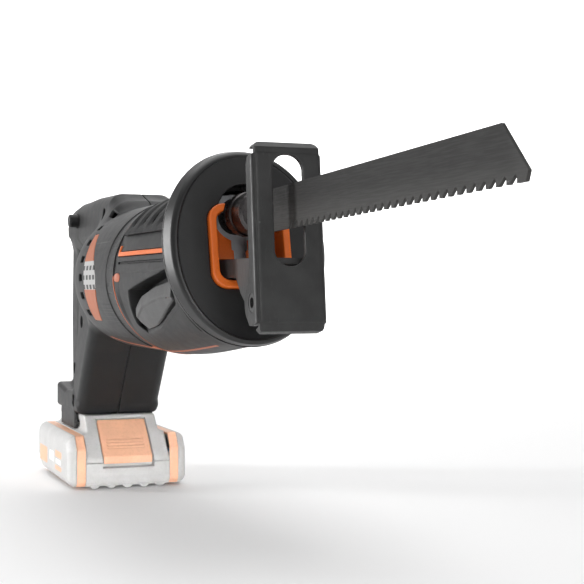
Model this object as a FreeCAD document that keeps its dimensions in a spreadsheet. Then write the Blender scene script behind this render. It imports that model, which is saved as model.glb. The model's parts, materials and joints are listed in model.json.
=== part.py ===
"""Cordless reciprocating saw with a D-handle, a pivoting shoe and a slide-on battery.

Frame: +X towards the blade, +Y to the saw's left, +Z up, millimetres. The origin is the
centre of the flat face under the battery, which the saw stands on.
"""
import FreeCAD, Part
import math
import os
import Sketcher
from FreeCAD import Placement, Rotation, Vector

# ---------------------------------------------------------------- driving dimensions
SIZES = {
    # axes and the nose
    "motor_z": 137.5,
    "plunger_z": 166.0,
    "face_x": 304.0,
    "face_z": 150.0,
    "face_lean": 13.0,
    "face_half_width": 38.4,
    "face_half_height": 46.4,
    "face_rise": 0.4,
    "rim_depth": 8.0,
    "rim_flare": 2.8,
    "rim_rise": 1.3,
    "collar_depth": 14.0,
    # casings
    "wall": 2.5,
    "barrel_radius": 43.0,
    "seam_x": 199.5,
    "barrel_rear_x": 104.0,
    "nose_half_width": 37.4,
    "nose_half_height": 39.8,
    "grip_half_width": 17.0,
    "bridge_half_width": 21.0,
    "column_half_width": 28.0,
    "foot_half_width": 27.3,
    "handle_top_z": 191.5,
    "foot_z": 46.8,
    # gear case
    "case_rear_x": 188.0,
    "case_front_x": 281.0,
    "case_radius": 39.3,
    "case_split_z": 141.0,
    # crank
    "crank_x": 222.0,
    "crank_throw": 14.0,
    "crank_disc_radius": 27.0,
    "crank_disc_z": 145.0,
    "crank_disc_top_z": 149.5,
    "crank_teeth": 54,
    "pinion_teeth": 9,
    "yoke_bottom_z": 153.0,
    # plunger
    "plunger_radius": 7.0,
    "tail_radius": 5.0,
    "running": 0.06,
    # motor
    "motor_rear_x": 124.0,
    "motor_front_x": 176.0,
    "motor_radius": 19.0,
    "shaft_radius": 2.5,
    # blade
    "blade_height": 19.5,
    "blade_thick": 1.3,
    "blade_pitch_up": 1.37,
    "tooth_pitch": 6.35,
    "tooth_count": 31,
    "tooth_depth": 2.8,
    # shoe
    "shoe_pivot_x": 353.7,
    "shoe_pivot_z": 124.0,
    "shoe_lean": 6.0,
    "shoe_half_width": 16.75,
    "shoe_thick": 2.5,
    "shoe_front": 7.25,
    "slot_half_width": 7.3,
    "pin_radius": 4.0,
    # battery
    "pack_rear_x": -57.0,
    "pack_front_x": 57.0,
    "pack_half_width": 40.0,
    "pack_band_in": 28.0,
    "pack_band_out": 34.0,
    "pack_height": 35.0,
    "pack_wall": 2.0,
    "block_top_z": 46.0,
    "block_half_width": 24.3,
    "cell_radius": 9.2,
    "cell_length": 65.0,
    "cell_count": 5,
}


class Size:
    """A length that knows both its number and the sheet expression that drives it."""

    def __init__(self, value, text):
        self.value = float(value)
        self.text = text

    def __add__(self, other):
        other = as_size(other)
        return Size(self.value + other.value, f"({self.text} + {other.text})")

    def __radd__(self, other):
        return as_size(other) + self

    def __sub__(self, other):
        other = as_size(other)
        return Size(self.value - other.value, f"({self.text} - {other.text})")

    def __rsub__(self, other):
        return as_size(other) - self

    def __mul__(self, other):
        other = as_size(other)
        return Size(self.value * other.value, f"({self.text} * {other.text})")

    def __rmul__(self, other):
        return as_size(other) * self

    def __truediv__(self, other):
        other = as_size(other)
        return Size(self.value / other.value, f"({self.text} / {other.text})")

    def __neg__(self):
        return Size(-self.value, f"(0 - {self.text})")

    def __float__(self):
        return self.value


class Sheet:
    """Gives every driving dimension as a Size, by its alias."""

    def __getattr__(self, alias):
        return Size(SIZES[alias], "Sizes." + alias)


def as_size(value):
    """Wraps a plain number so that it can be mixed with sheet sizes."""
    if isinstance(value, Size):
        return value
    return Size(value, f"({float(value):.6f})")


S = Sheet()
doc = FreeCAD.newDocument("reciprocating_saw")
sheet = doc.addObject("Spreadsheet::Sheet", "Sizes")
for row, (alias, value) in enumerate(SIZES.items(), start=1):
    sheet.set(f"A{row}", alias)
    sheet.set(f"B{row}", str(value))
    sheet.setAlias(f"B{row}", alias)
doc.recompute()

nodes = []


# ---------------------------------------------------------------- building helpers
def bind(thing, prop, value):
    """Sets a property to a size, and ties it to the sheet where the size comes from it."""
    value = as_size(value)
    if "." not in prop:
        whole = isinstance(getattr(thing, prop), int)
        setattr(thing, prop, int(value.value) if whole else value.value)
    if "Sizes." in value.text:
        thing.setExpression(prop, value.text)


def place(thing, where, turn=Rotation()):
    """Puts an object at a point of sizes, with a fixed rotation."""
    spot = [as_size(value) for value in where]
    thing.Placement = Placement(Vector(*[value.value for value in spot]), turn)
    for name, value in zip("xyz", spot):
        bind(thing, "Placement.Base." + name, value)
    return thing


def node(thing, label):
    """Marks an object as a sub-part: its label names its file."""
    thing.Label = label
    nodes.append(thing)
    return thing


TURNS = {
    "x": Rotation(Vector(0, 1, 0), 90),
    "y": Rotation(Vector(1, 0, 0), -90),
    "z": Rotation(),
}


def cylinder(where, axis, radius, length, sweep=360):
    """A cylinder from a point along +X, +Y or +Z."""
    rod = doc.addObject("Part::Cylinder", "Cylinder")
    bind(rod, "Radius", radius)
    bind(rod, "Height", length)
    rod.Angle = sweep
    return place(rod, where, TURNS[axis])


def cone(where, axis, radius, end_radius, length):
    """A truncated cone from a point along +X, +Y or +Z."""
    taper = doc.addObject("Part::Cone", "Cone")
    bind(taper, "Radius1", radius)
    bind(taper, "Radius2", end_radius)
    bind(taper, "Height", length)
    return place(taper, where, TURNS[axis])


def box(low, size, turn=Rotation()):
    """A box from its lowest corner and its three sizes."""
    block = doc.addObject("Part::Box", "Box")
    for prop, value in zip(("Length", "Width", "Height"), size):
        bind(block, prop, value)
    return place(block, low, turn)


def span_box(low, high):
    """A box between two corners."""
    size = [as_size(b) - as_size(a) for a, b in zip(low, high)]
    return box(low, size)


def fuse(*things):
    """All things as one."""
    if len(things) == 1:
        return things[0]
    joined = doc.addObject("Part::MultiFuse", "Fuse")
    joined.Shapes = list(things)
    return joined


def group(*things):
    """Several separate solids in one sub-part."""
    compound = doc.addObject("Part::Compound", "Group")
    compound.Links = list(things)
    return compound


def cut(base, *tools):
    """The base without the tools."""
    left = doc.addObject("Part::Cut", "Cut")
    left.Base = base
    left.Tool = fuse(*tools)
    return left


def common(first, second):
    """What two things share."""
    shared = doc.addObject("Part::Common", "Common")
    shared.Base = first
    shared.Tool = second
    return shared


def mirror(source):
    """The same piece on the other side of the saw's centre plane."""
    copy = doc.addObject("Part::Mirroring", "Mirror")
    copy.Source = source
    copy.Normal = Vector(0, 1, 0)
    copy.Base = Vector(0, 0, 0)
    return copy


def tube(where, axis, outer, inner, length):
    """A plain ring or sleeve."""
    return cut(cylinder(where, axis, outer, length), cylinder(where, axis, inner, length))


def feature(shape):
    """A shape made with Part's own functions, as a document object."""
    thing = doc.addObject("Part::Feature", "Shape")
    thing.Shape = shape
    return thing


PLANES = {"side": "XZ_Plane", "front": "YZ_Plane", "top": "XY_Plane"}


def new_body():
    return doc.addObject("PartDesign::Body", "Body")


def sketch(body, plane, outlines, circles=(), offset=0.0):
    """A fully dimensioned sketch of straight outlines and circles on an origin plane."""
    drawing = body.newObject("Sketcher::SketchObject", "Sketch")
    role = PLANES[plane]
    support = [item for item in body.Origin.OriginFeatures if item.Role == role][0]
    drawing.AttachmentSupport = [(support, "")]
    drawing.MapMode = "FlatFace"
    offset = as_size(offset)
    drawing.AttachmentOffset = Placement(Vector(0, 0, offset.value), Rotation())
    bind(drawing, "AttachmentOffset.Base.z", offset)
    for outline in outlines:
        points = [(as_size(u), as_size(v)) for u, v in outline]
        first = drawing.GeometryCount
        count = len(points)
        for index, (u, v) in enumerate(points):
            u_next, v_next = points[(index + 1) % count]
            start = Vector(u.value, v.value, 0)
            end = Vector(u_next.value, v_next.value, 0)
            drawing.addGeometry(Part.LineSegment(start, end))
        for index in range(count):
            ends = (first + index, 2, first + (index + 1) % count, 1)
            drawing.addConstraint(Sketcher.Constraint("Coincident", *ends))
        for index, (u, v) in enumerate(points):
            dimension(drawing, "DistanceX", (-1, 1, first + index, 1), u)
            dimension(drawing, "DistanceY", (-1, 1, first + index, 1), v)
    for u, v, radius in circles:
        u, v, radius = as_size(u), as_size(v), as_size(radius)
        ring = Part.Circle(Vector(u.value, v.value, 0), Vector(0, 0, 1), radius.value)
        index = drawing.addGeometry(ring)
        dimension(drawing, "DistanceX", (-1, 1, index, 3), u)
        dimension(drawing, "DistanceY", (-1, 1, index, 3), v)
        dimension(drawing, "Radius", (index,), radius)
    return drawing


def dimension(drawing, kind, where, value):
    """One sketch dimension, tied to the sheet where its size comes from it."""
    index = drawing.addConstraint(Sketcher.Constraint(kind, *where, value.value))
    if "Sizes." in value.text:
        drawing.setExpression(f"Constraints[{index}]", value.text)


def pad(body, plane, outlines, low, high, circles=()):
    """Material between two distances along the plane's world axis."""
    low, high = as_size(low), as_size(high)
    offset = -high if plane == "side" else low
    profile = sketch(body, plane, outlines, circles, offset)
    added = body.newObject("PartDesign::Pad", "Pad")
    added.Profile = profile
    bind(added, "Length", high - low)
    doc.recompute()
    return added


def pocket(body, plane, outlines, low, high, circles=()):
    """Material taken out between two distances along the plane's world axis."""
    low, high = as_size(low), as_size(high)
    before = body.Shape.Volume
    offset = -low if plane == "side" else high
    profile = sketch(body, plane, outlines, circles, offset)
    taken = body.newObject("PartDesign::Pocket", "Pocket")
    taken.Profile = profile
    bind(taken, "Length", high - low)
    doc.recompute()
    if body.Shape.Volume > before - 0.01:
        raise RuntimeError(f"pocket in {body.Name} cuts nothing")
    return taken


def revolve(body, outline, sweep=360, backwards=False):
    """A side-plane outline of (x, radius) points turned about the body's X axis."""
    profile = sketch(body, "side", [outline])
    turned = body.newObject("PartDesign::Revolution", "Revolution")
    turned.Profile = profile
    turned.ReferenceAxis = (profile, ["H_Axis"])
    turned.Angle = sweep
    turned.Reversed = backwards
    doc.recompute()
    return turned


def round_edges(body, radius, chosen, kind="Fillet"):
    """Rounds (or chamfers) the edges of the body's tip that a test picks."""
    tip = body.Tip
    names = []
    for index, edge in enumerate(tip.Shape.Edges, start=1):
        if chosen(edge):
            names.append(f"Edge{index}")
    if not names:
        raise RuntimeError(f"no edge to round in {body.Name}")
    rounded = body.newObject("PartDesign::" + kind, kind)
    rounded.Base = (tip, names)
    bind(rounded, "Radius" if kind == "Fillet" else "Size", radius)
    doc.recompute()
    return rounded


def parallel(axis, near=None, reach=0.6):
    """Picks straight edges along a world axis, near given (x, y, z) points if any.

    A None in a point leaves that coordinate free.
    """
    way = {"x": Vector(1, 0, 0), "y": Vector(0, 1, 0), "z": Vector(0, 0, 1)}[axis]

    def chosen(edge):
        if not isinstance(edge.Curve, Part.Line):
            return False
        if edge.Curve.Direction.cross(way).Length > 0.01:
            return False
        if near is None:
            return True
        middle = edge.CenterOfMass
        for point in near:
            gaps = [abs(float(p) - m) for p, m in zip(point, middle) if p is not None]
            if max(gaps) < reach:
                return True
        return False

    return chosen


def on_plane(axis, value, reach=0.05):
    """Picks edges that lie wholly in a plane square to a world axis."""

    def chosen(edge):
        box_low = getattr(edge.BoundBox, axis.upper() + "Min")
        box_high = getattr(edge.BoundBox, axis.upper() + "Max")
        return abs(box_low - float(value)) < reach and abs(box_high - float(value)) < reach

    return chosen


def spring(where, axis, radius, wire, length, turns):
    """A coil spring that starts at a point and runs along an axis."""
    body = new_body()
    radius, wire = as_size(radius), as_size(wire)
    profile = sketch(body, "side", [], [(radius, 0.0, wire)])
    coil = body.newObject("PartDesign::AdditiveHelix", "Coil")
    coil.Profile = profile
    coil.ReferenceAxis = (profile, ["V_Axis"])
    coil.Mode = 0
    bind(coil, "Pitch", as_size(length) / turns)
    bind(coil, "Height", length)
    doc.recompute()
    return place(body, where, TURNS[axis])


def oval(x, half_width, half_height, centre_z, lean=0.0, fullness=2.05, steps=28):
    """A closed wire round the X direction: a slightly full ellipse on a leaning plane."""
    points = []
    slope = math.tan(math.radians(float(lean)))
    for step in range(steps):
        angle = 2 * math.pi * step / steps
        across = math.cos(angle)
        up = math.sin(angle)
        y = float(half_width) * math.copysign(abs(across) ** (2 / fullness), across)
        z = float(half_height) * math.copysign(abs(up) ** (2 / fullness), up)
        points.append(Vector(float(x) - slope * z, y, float(centre_z) + z))
    curve = Part.BSplineCurve()
    curve.interpolate(Points=points, PeriodicFlag=True)
    return Part.Wire(curve.toShape())


def skin(sections, ruled=False):
    """A solid through oval sections."""
    return feature(Part.makeLoft(sections, True, ruled))


# ---------------------------------------------------------------- casings
LEAN = Rotation(Vector(0, 1, 0), -SIZES["face_lean"])


def right_half(thing, gap=0.15):
    """The part of a thing on the saw's right, less half the parting gap."""
    return common(thing, span_box((-150, -100, -50), (400, -gap, 300)))


def nose_skin(inset):
    """The front barrel, from the round seam to the oval nose, made smaller by an inset."""
    radius = S.barrel_radius.value - inset
    middle_x = 240.0
    taper_x = 283.0
    return skin([
        oval(S.seam_x + 1.0, radius, radius, S.motor_z),
        oval(middle_x, 41.6 - inset, 42.4 - inset, 138.9),
        oval(taper_x, 38.6 - inset, 40.5 - inset, 141.5),
        oval(312.0, S.nose_half_width - inset, S.nose_half_height - inset, 143.8),
    ])


def behind_face(depth):
    """Everything behind a plane parallel to the leaning nose face."""
    reach = 400.0
    block = box((0, 0, 0), (reach, 200.0, 200.0))
    back = LEAN.multVec(Vector(-reach - depth, 0, -100.0))
    corner = Vector(S.face_x.value, -100.0, S.face_z.value) + back
    return place(block, (corner.x, corner.y, corner.z), LEAN)


LEVER_PIVOT = (280.0, 127.5)
LEVER_OUTLINE = [(222.0, 113.5), (224.5, 120.5), (240.5, 126.8), (264.0, 131.8), (286.8, 134.6),
                 (287.6, 125.0), (263.0, 116.6), (236.0, 108.2), (228.0, 108.6)]
RECESS_OUTLINE = [(217.0, 111.5), (219.6, 121.0), (224.5, 129.6), (235.0, 131.6), (258.0, 135.4),
                  (292.0, 140.4), (292.3, 130.0), (289.0, 123.2), (263.0, 115.1), (234.5, 105.6),
                  (226.0, 106.0)]
RECESS_FLOOR = -29.5


def nose_oval(behind, grown, taller, rise):
    """An oval parallel to the nose face, a distance behind it."""
    slope = math.tan(math.radians(SIZES["face_lean"]))
    return oval(S.face_x.value - behind - slope * rise, S.face_half_width + grown,
                S.face_half_height + taller, S.face_z + rise, S.face_lean)


def gear_covers():
    """The two front half shells over the gear case, the right one with the lever recess."""
    wide, tall = S.rim_flare.value, S.rim_rise.value
    collar = skin([nose_oval(S.collar_depth.value, wide - 0.7, tall - 0.8, -0.4),
                   nose_oval(S.rim_depth.value, wide, tall, SIZES["face_rise"])], ruled=True)
    behind = behind_face(S.rim_depth.value + 0.2)
    outer = common(fuse(nose_skin(0.0), collar), behind)
    shell = cut(outer, nose_skin(SIZES["wall"]))
    well_wall = new_body()
    margin = 2.2
    centre = Vector(256.0, 0, 122.0)
    grown = []
    for x, z in RECESS_OUTLINE:
        away = Vector(x - centre.x, 0, z - centre.z)
        away = away * (1 + margin / away.Length)
        grown.append((centre.x + away.x, centre.z + away.z))
    pad(well_wall, "side", [grown], -39.0, RECESS_FLOOR + 2.0)
    well = common(well_wall, nose_skin(0.4))
    hollow = new_body()
    pad(hollow, "side", [RECESS_OUTLINE], -60.0, RECESS_FLOOR)
    pin_hole = cylinder((LEVER_PIVOT[0], RECESS_FLOOR - 1.0, LEVER_PIVOT[1]), "y", 1.56, 5.0)
    surface = cut(nose_skin(-1.0), nose_skin(1.3))
    stripe_bed = common(surface, span_box((206.0, -60.0, 147.4), (284.0, -20.0, 150.4)))
    groove = common(surface, span_box((206.0, -60.0, 143.6), (286.0, -20.0, 144.6)))
    half = cut(right_half(shell), stripe_bed, groove)
    node(cut(fuse(half, well), hollow, pin_hole), "gear_cover_right")
    node(mirror(half), "gear_cover_left")
    side = span_box((206.3, -60.0, 147.7), (283.7, -20.0, 150.1))
    stripe = common(cut(nose_skin(-0.3), nose_skin(1.2)), side)
    node(group(stripe, mirror(stripe)), "side_stripes")


def overmoulds():
    """Soft pads over the top of the two gear covers."""
    layer = cut(nose_skin(-1.0), nose_skin(-0.02))
    top = span_box((206.0, -60.0, 160.0), (278.0, -0.3, 300.0))
    pads = common(layer, top)
    node(group(pads, mirror(pads)), "top_overmoulds")


def nose():
    """The leaning oval flange, open in the middle, and the orange bezel in its opening."""
    lean = S.face_lean
    depth = S.rim_depth.value
    rise = SIZES["face_rise"]
    plate = skin([nose_oval(depth, S.rim_flare.value, S.rim_rise.value, rise),
                  nose_oval(0.0, 0.0, 0.0, rise)], ruled=True)
    plate_body = new_body()
    pad(plate_body, "front", [rounded_rect(20.4, -20.2, 21.7, 8.2)], -40.0, 10.0)
    opening = place(plate_body, (S.face_x, 0, S.face_z), LEAN)
    clamp_hole = cylinder((250.0, 0, S.plunger_z), "x", 14.9, 80.0)
    dish = skin([
        oval(S.face_x - depth - 1, 34.0, 42.0, S.face_z, lean),
        oval(S.face_x - 3.0, 34.0, 42.0, S.face_z, lean),
    ], ruled=True)
    keep = new_body()
    pad(keep, "front", [rounded_rect(24.0, -24.0, 30.0, 8.0)], -40.0, 10.0)
    place(keep, (S.face_x, 0, S.face_z), LEAN)
    node(cut(plate, cut(dish, keep), opening, clamp_hole), "nose_flange")

    frame = new_body()
    pad(frame, "front", [rounded_rect(20.25, -20.0, 21.5, 8.0)], -17.6, 1.8)
    pocket(frame, "front", [rounded_rect(16.5, -16.25, 17.75, 5.0)], -20.0, 2.5)
    place(frame, (S.face_x, 0, S.face_z), LEAN)
    notch = cylinder((250.0, 0, S.plunger_z), "x", 12.6, 80.0)
    bezel = cut(frame, notch)
    node(bezel, "nose_bezel")


def rounded_rect(half_width, low, high, radius, steps=5):
    """Points of an upright rectangle with round corners."""
    corners = [(half_width - radius, low + radius, -90), (half_width - radius, high - radius, 0),
               (radius - half_width, high - radius, 90), (radius - half_width, low + radius, 180)]
    points = []
    for u, v, start in corners:
        for step in range(steps):
            angle = math.radians(start + 90 * step / (steps - 1))
            points.append((u + radius * math.cos(angle), v + radius * math.sin(angle)))
    return points


def handle_solid(inset):
    """The D-handle on the right of the centre plane, made smaller by an inset."""
    parts = []

    grip = new_body()
    depth = S.grip_half_width - inset
    pad(grip, "side", [[(-50.5 + inset, 50.0), (-54.0 + inset, 110.0), (-50.5 + inset, 176.0 - inset),
                        (-40.0 + inset, 188.0 - inset), (0.0, 188.0 - inset), (0.0, 160.0),
                        (-16.0 - inset, 156.0), (-19.0 - inset, 110.0), (-17.0 - inset, 50.0)]],
        -depth, 0.0)
    round_edges(grip, 10.5 - inset, on_plane("y", -depth.value))
    parts.append(grip)

    bridge = new_body()
    depth = S.bridge_half_width - inset
    pad(bridge, "side", [[(-46.0 + inset, 178.0 - inset), (-30.0 + inset, 187.5 - inset),
                          (-8.0, S.handle_top_z - 1.2 - inset), (40.0, S.handle_top_z - inset),
                          (92.0, S.handle_top_z - 1.0 - inset), (112.0, 183.0 - inset),
                          (112.0, 150.0), (60.0, 150.0), (38.0 + inset, 159.0 + inset),
                          (-20.0, 159.0 + inset), (-44.0 + inset, 165.0)]],
        -depth, 0.0)
    round_edges(bridge, 9.0 - inset, on_plane("y", -depth.value))
    parts.append(bridge)

    column = new_body()
    depth = S.column_half_width - inset
    pad(column, "side", [[(27.0 - inset, 48.0), (59.0 - inset, 90.0), (76.0 - inset, 108.0),
                          (80.0, 140.0), (60.0, 150.0), (39.0 + inset, 150.0),
                          (27.0 + inset, 114.0), (18.0 + inset, 90.0), (9.0 + inset, 64.0 + inset * 0.4),
                          (6.0 + inset, 48.0)]],
        -depth, 0.0)
    round_edges(column, 7.0 - inset, on_plane("y", -depth.value))
    parts.append(column)

    foot = new_body()
    depth = S.foot_half_width - inset
    base = S.foot_z + inset
    pad(foot, "side", [[(-50.5 + inset, base), (26.0 - inset, base), (28.0 - inset, 52.0),
                        (14.0, 62.0 - inset), (-20.0, 60.0 - inset), (-50.5 + inset, 64.0 - inset)]],
        -depth, 0.0)
    side = on_plane("y", -depth.value)
    round_edges(foot, 6.0 - inset, lambda edge: side(edge) and edge.CenterOfMass.z > 55.0)
    parts.append(foot)

    dome = new_body()
    radius = S.barrel_radius - inset
    revolve(dome, [(44.0 + inset, 0.0), (46.0 + inset, 20.0 - inset), (56.0 + inset, 30.0 - inset),
                   (76.0 + inset, radius - 4.5), (S.barrel_rear_x, radius - 0.5), (114.0, radius),
                   (S.seam_x - 0.3 + inset * 2, radius), (S.seam_x - 0.3 + inset * 2, 0.0)],
            180)
    place(dome, (0, 0, S.motor_z))
    parts.append(dome)
    return fuse(*parts)


def barrel_bores():
    """What is taken out of the rear shells: vents, label bed, lock-off hole and trigger slot."""
    tools = []
    for index in range(7):
        tilt = Rotation(Vector(1, 0, 0), -60 + 15 * index)
        slot = box((0, 0, 0), (9.0, 12.0, 4.2))
        corner = tilt.multVec(Vector(0, -49.0, -2.1))
        tools.append(place(slot, (106.0, corner.y, S.motor_z + corner.z), tilt))
    bed = new_body()
    revolve(bed, [(116.0, 42.2), (154.0, 42.2), (154.0, 48.0), (116.0, 48.0)])
    tools.append(place(bed, (0, 0, S.motor_z)))
    tools.append(cylinder((-5.0, -40.0, 178.0), "y", 4.6, 80.0))
    tools.append(span_box((-24.0, -8.4, 117.0), (-10.0, 8.4, 153.4)))
    tools.append(span_box((-49.0, -12.0, 45.0), (-33.0, 12.0, 51.0)))
    return tools


SCREW_SPOTS = [(41.0, 109.0, 28.0), (16.0, 55.0, 27.3), (-38.0, 74.0, 17.0), (-40.0, 166.0, 17.0),
               (78.0, 178.0, 21.0)]


def rear_housing():
    """The two clam shells: rear barrel, D-handle and foot in one piece each."""
    shell = cut(handle_solid(0.0), handle_solid(SIZES["wall"]))
    bosses = []
    holes = []
    for x, z, depth in SCREW_SPOTS:
        bosses.append(cylinder((x, -depth + 1.5, z), "y", 5.2, depth - 1.6))
        holes.append(cylinder((x, -depth - 1.0, z), "y", 4.0, 6.0))
        holes.append(cylinder((x, -depth - 1.0, z), "y", 2.1, depth + 2.0))
    skirt = span_box((-33.0, -S.foot_half_width, 35.6), (14.0, -24.9, S.foot_z + 2.0))
    lip = span_box((-33.0, -25.4, 38.4), (14.0, -22.9, 40.6))
    blank = right_half(fuse(shell, skirt, lip, *bosses))
    right = cut(blank, *barrel_bores(), *holes)
    node(right, "housing_right")
    node(mirror(right), "housing_left")
    screws = []
    for x, z, depth in SCREW_SPOTS:
        head = cylinder((x, -depth + 2.4, z), "y", 3.6, 2.4)
        rod = cylinder((x, -depth + 4.0, z), "y", 1.9, depth * 2 - 10.0)
        drive = cylinder((x, -depth + 1.4, z), "y", 1.6, 2.0)
        screws.append(cut(fuse(head, rod), drive))
    node(group(*screws), "housing_screws")


def bands():
    """The orange label band on each side and the ring at the seam."""
    labels = []
    for start in (52, -128):
        body = new_body()
        revolve(body, [(116.4, 42.3), (153.6, 42.3), (153.6, 43.2), (116.4, 43.2)], 76)
        labels.append(place(body, (0, 0, S.motor_z), Rotation(Vector(1, 0, 0), start)))
    node(group(*labels), "label_bands")
    ring = tube((S.seam_x - 0.1, 0, S.motor_z), "x", S.barrel_radius + 0.4, S.barrel_radius - 2.3, 0.9)
    node(ring, "seam_ring")


# ---------------------------------------------------------------- gear case and crank
def gear_case():
    """The split metal case that carries the crank, the plunger bushes and the motor nose."""
    low, high = S.case_rear_x, S.case_front_x
    length = high - low

    def block(inset):
        drum = cylinder((low + inset, 0, S.motor_z), "x", S.case_radius - inset, length - inset * 2)
        wide = span_box((low + inset, -33.0 + inset, S.case_split_z - 1.0 + inset),
                        (high - inset, 33.0 - inset, 200.0))
        narrow = span_box((low + inset, -24.0 + inset, 106.0 + inset),
                          (high - inset, 24.0 - inset, S.case_split_z + 4.0))
        rear_room = span_box((low - 5.0, -60.0, 50.0), (S.seam_x + 1.2, 60.0, 250.0))
        room = fuse(nose_skin(SIZES["wall"] + 0.5 + inset), rear_room)
        return common(common(drum, fuse(wide, narrow)), room)

    lever_room = span_box((211.0, -40.0, 100.0), (294.5, -27.2, 145.0))
    hollow = cut(block(0.0), block(3.0), lever_room)
    above = span_box((100, -60, S.case_split_z + 0.1), (400, 60, 250))
    below = span_box((100, -60, 50), (400, 60, S.case_split_z - 0.1))
    axle = (S.crank_x, 0)

    seat = cylinder((*axle, 107.2), "z", 13.5, 30.6)
    seat_bore = cylinder((*axle, 110.4), "z", 11.05, 30.0)
    nose_bore = cylinder((low - 1, 0, S.motor_z), "x", 8.05, 6.0)
    screw_bores = [cylinder((270.0, 20.0 * side, 125.0), "z", radius, length)
                   for side in (-1, 1) for radius, length in ((3.25, 8.65), (1.75, 24.6))]
    case_low = cut(fuse(common(hollow, below), common(seat, block(0.5))), seat_bore, nose_bore,
                   *screw_bores)
    node(case_low, "gear_case_lower")

    front_boss = cylinder((high - 19.0, 0, S.plunger_z), "x", 11.5, 19.0)
    rear_boss = cylinder((low, 0, S.plunger_z), "x", 9.5, 8.0)
    front_bore = cylinder((high - 20.0, 0, S.plunger_z), "x", 9.05, 21.0)
    rear_bore = cylinder((low - 1.0, 0, S.plunger_z), "x", 7.55, 10.0)
    top = fuse(common(hollow, above), common(fuse(front_boss, rear_boss), block(0.0)))
    node(cut(top, front_bore, rear_bore, nose_bore, *screw_bores), "gear_case_upper")

    node(tube((high - 19.0, 0, S.plunger_z), "x", 9.0, S.plunger_radius + S.running, 13.0), "front_bush")
    node(tube((low, 0, S.plunger_z), "x", 7.5, S.tail_radius + S.running, 8.0), "rear_bush")
    node(tube((high - 5.5, 0, S.plunger_z), "x", 9.0, S.plunger_radius + S.running, 5.0), "plunger_seal")
    bearings = [
        tube((*axle, 111.2), "z", 11.0, 5.0 + SIZES["running"], 7.0),
        tube((*axle, 130.6), "z", 11.0, 5.0 + SIZES["running"], 7.0),
    ]
    node(group(*bearings), "crank_bearings")
    screws = []
    for side in (-1, 1):
        screws.append(fuse(cylinder((270.0, 20.0 * side, 133.5), "z", 1.7, 16.0),
                           cylinder((270.0, 20.0 * side, 131.2), "z", 3.2, 2.4)))
    node(group(*screws), "case_screws")


def crank():
    """The crank gear on its shaft, its crank pin and the roller on the pin."""
    body = new_body()
    tooth_width = 1.3
    pad(body, "top", [], 0.0, S.crank_disc_top_z - S.crank_disc_z, [(0, 0, S.crank_disc_radius)])
    pad(body, "top", [], -34.0, 0.5, [(0, 0, 5.0)])
    pad(body, "top", [], 4.0, 7.4, [(0, S.crank_throw, 3.5)])
    teeth = pad(body, "top", [[(21.0, -tooth_width / 2), (26.8, -tooth_width / 2),
                               (26.8, tooth_width / 2), (21.0, tooth_width / 2)]], -1.6, 0.5)
    ring = body.newObject("PartDesign::PolarPattern", "Teeth")
    ring.Originals = [teeth]
    upright = [item for item in body.Origin.OriginFeatures if item.Role == "Z_Axis"][0]
    ring.Axis = (upright, [""])
    ring.Angle = 360
    bind(ring, "Occurrences", S.crank_teeth)
    body.Tip = ring
    doc.recompute()
    pocket(body, "top", [], -1.0, 6.0, [(14.0, 0, 5.0), (-14.0, 0, 5.0), (0, -15.0, 5.0)])
    place(body, (S.crank_x, 0, S.crank_disc_z))
    node(body, "crank_gear")
    roller = tube((S.crank_x, S.crank_throw, S.crank_disc_top_z + 0.2), "z", 6.0, 3.56, 2.6)
    node(roller, "crank_roller")


def plunger():
    """The reciprocating plunger: tail, cross yoke, rod and slotted chuck end."""
    rod = cylinder((230.0, 0, S.plunger_z), "x", S.plunger_radius, 88.0)
    tail = cylinder((160.0, 0, S.plunger_z), "x", S.tail_radius, 54.0)
    yoke = new_body()
    low = S.yoke_bottom_z
    pad(yoke, "side", [[(212.0, low), (232.0, low), (232.0, 167.5), (212.0, 167.5)]], -19.4, 19.4)
    round_edges(yoke, 3.0, parallel("z"))
    track = span_box((215.3, -21.0, low - 1), (228.7, 21.0, 159.5))
    slot = span_box((292.0, -0.75, 157.0), (320.0, 0.75, 175.0))
    bevel = cut(cylinder((315.0, 0, S.plunger_z), "x", 9.0, 3.5),
                cone((315.0, 0, S.plunger_z), "x", S.plunger_radius, 4.5, 3.5))
    pin_bore = cylinder((309.0, 0.5, S.plunger_z - 4.2), "y", 1.42, 8.0)
    node(cut(fuse(rod, tail, yoke), track, slot, bevel, pin_bore), "plunger")


def clamp():
    """The tool-less blade clamp on the plunger's front end."""
    x0 = 297.0
    sleeve = new_body()
    bore = S.plunger_radius + S.running
    revolve(sleeve, [(x0, 9.4), (x0, 10.3), (x0 + 0.6, 10.85), (x0 + 7, 10.85), (x0 + 8, 10.2),
                     (x0 + 13, 10.2), (x0 + 14, 10.85), (x0 + 22, 10.85), (x0 + 23.5, 9.6),
                     (x0 + 23.5, bore), (x0 + 9, bore), (x0 + 9, 9.4)])
    place(sleeve, (0, 0, S.plunger_z))
    window = span_box((x0 + 15.0, -1.6, S.plunger_z - 12), (x0 + 25.0, 1.6, S.plunger_z + 12))
    knurls = []
    for index in range(12):
        angle = math.radians(30 * index + 15)
        y = 11.5 * math.cos(angle)
        z = 11.5 * math.sin(angle)
        knurls.append(cylinder((x0 - 1.0, y, S.plunger_z + z), "x", 1.0, 7.5))
    node(cut(sleeve, window, *knurls), "clamp_sleeve")
    spring_body = spring((x0 + 0.6, 0, S.plunger_z), "x", 8.2, 0.5, 7.4, 4.0)
    node(spring_body, "clamp_spring")
    pin = cylinder((x0 + 12.0, 0.85, S.plunger_z - 4.2), "y", 1.4, 3.0)
    node(pin, "clamp_pin")


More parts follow.
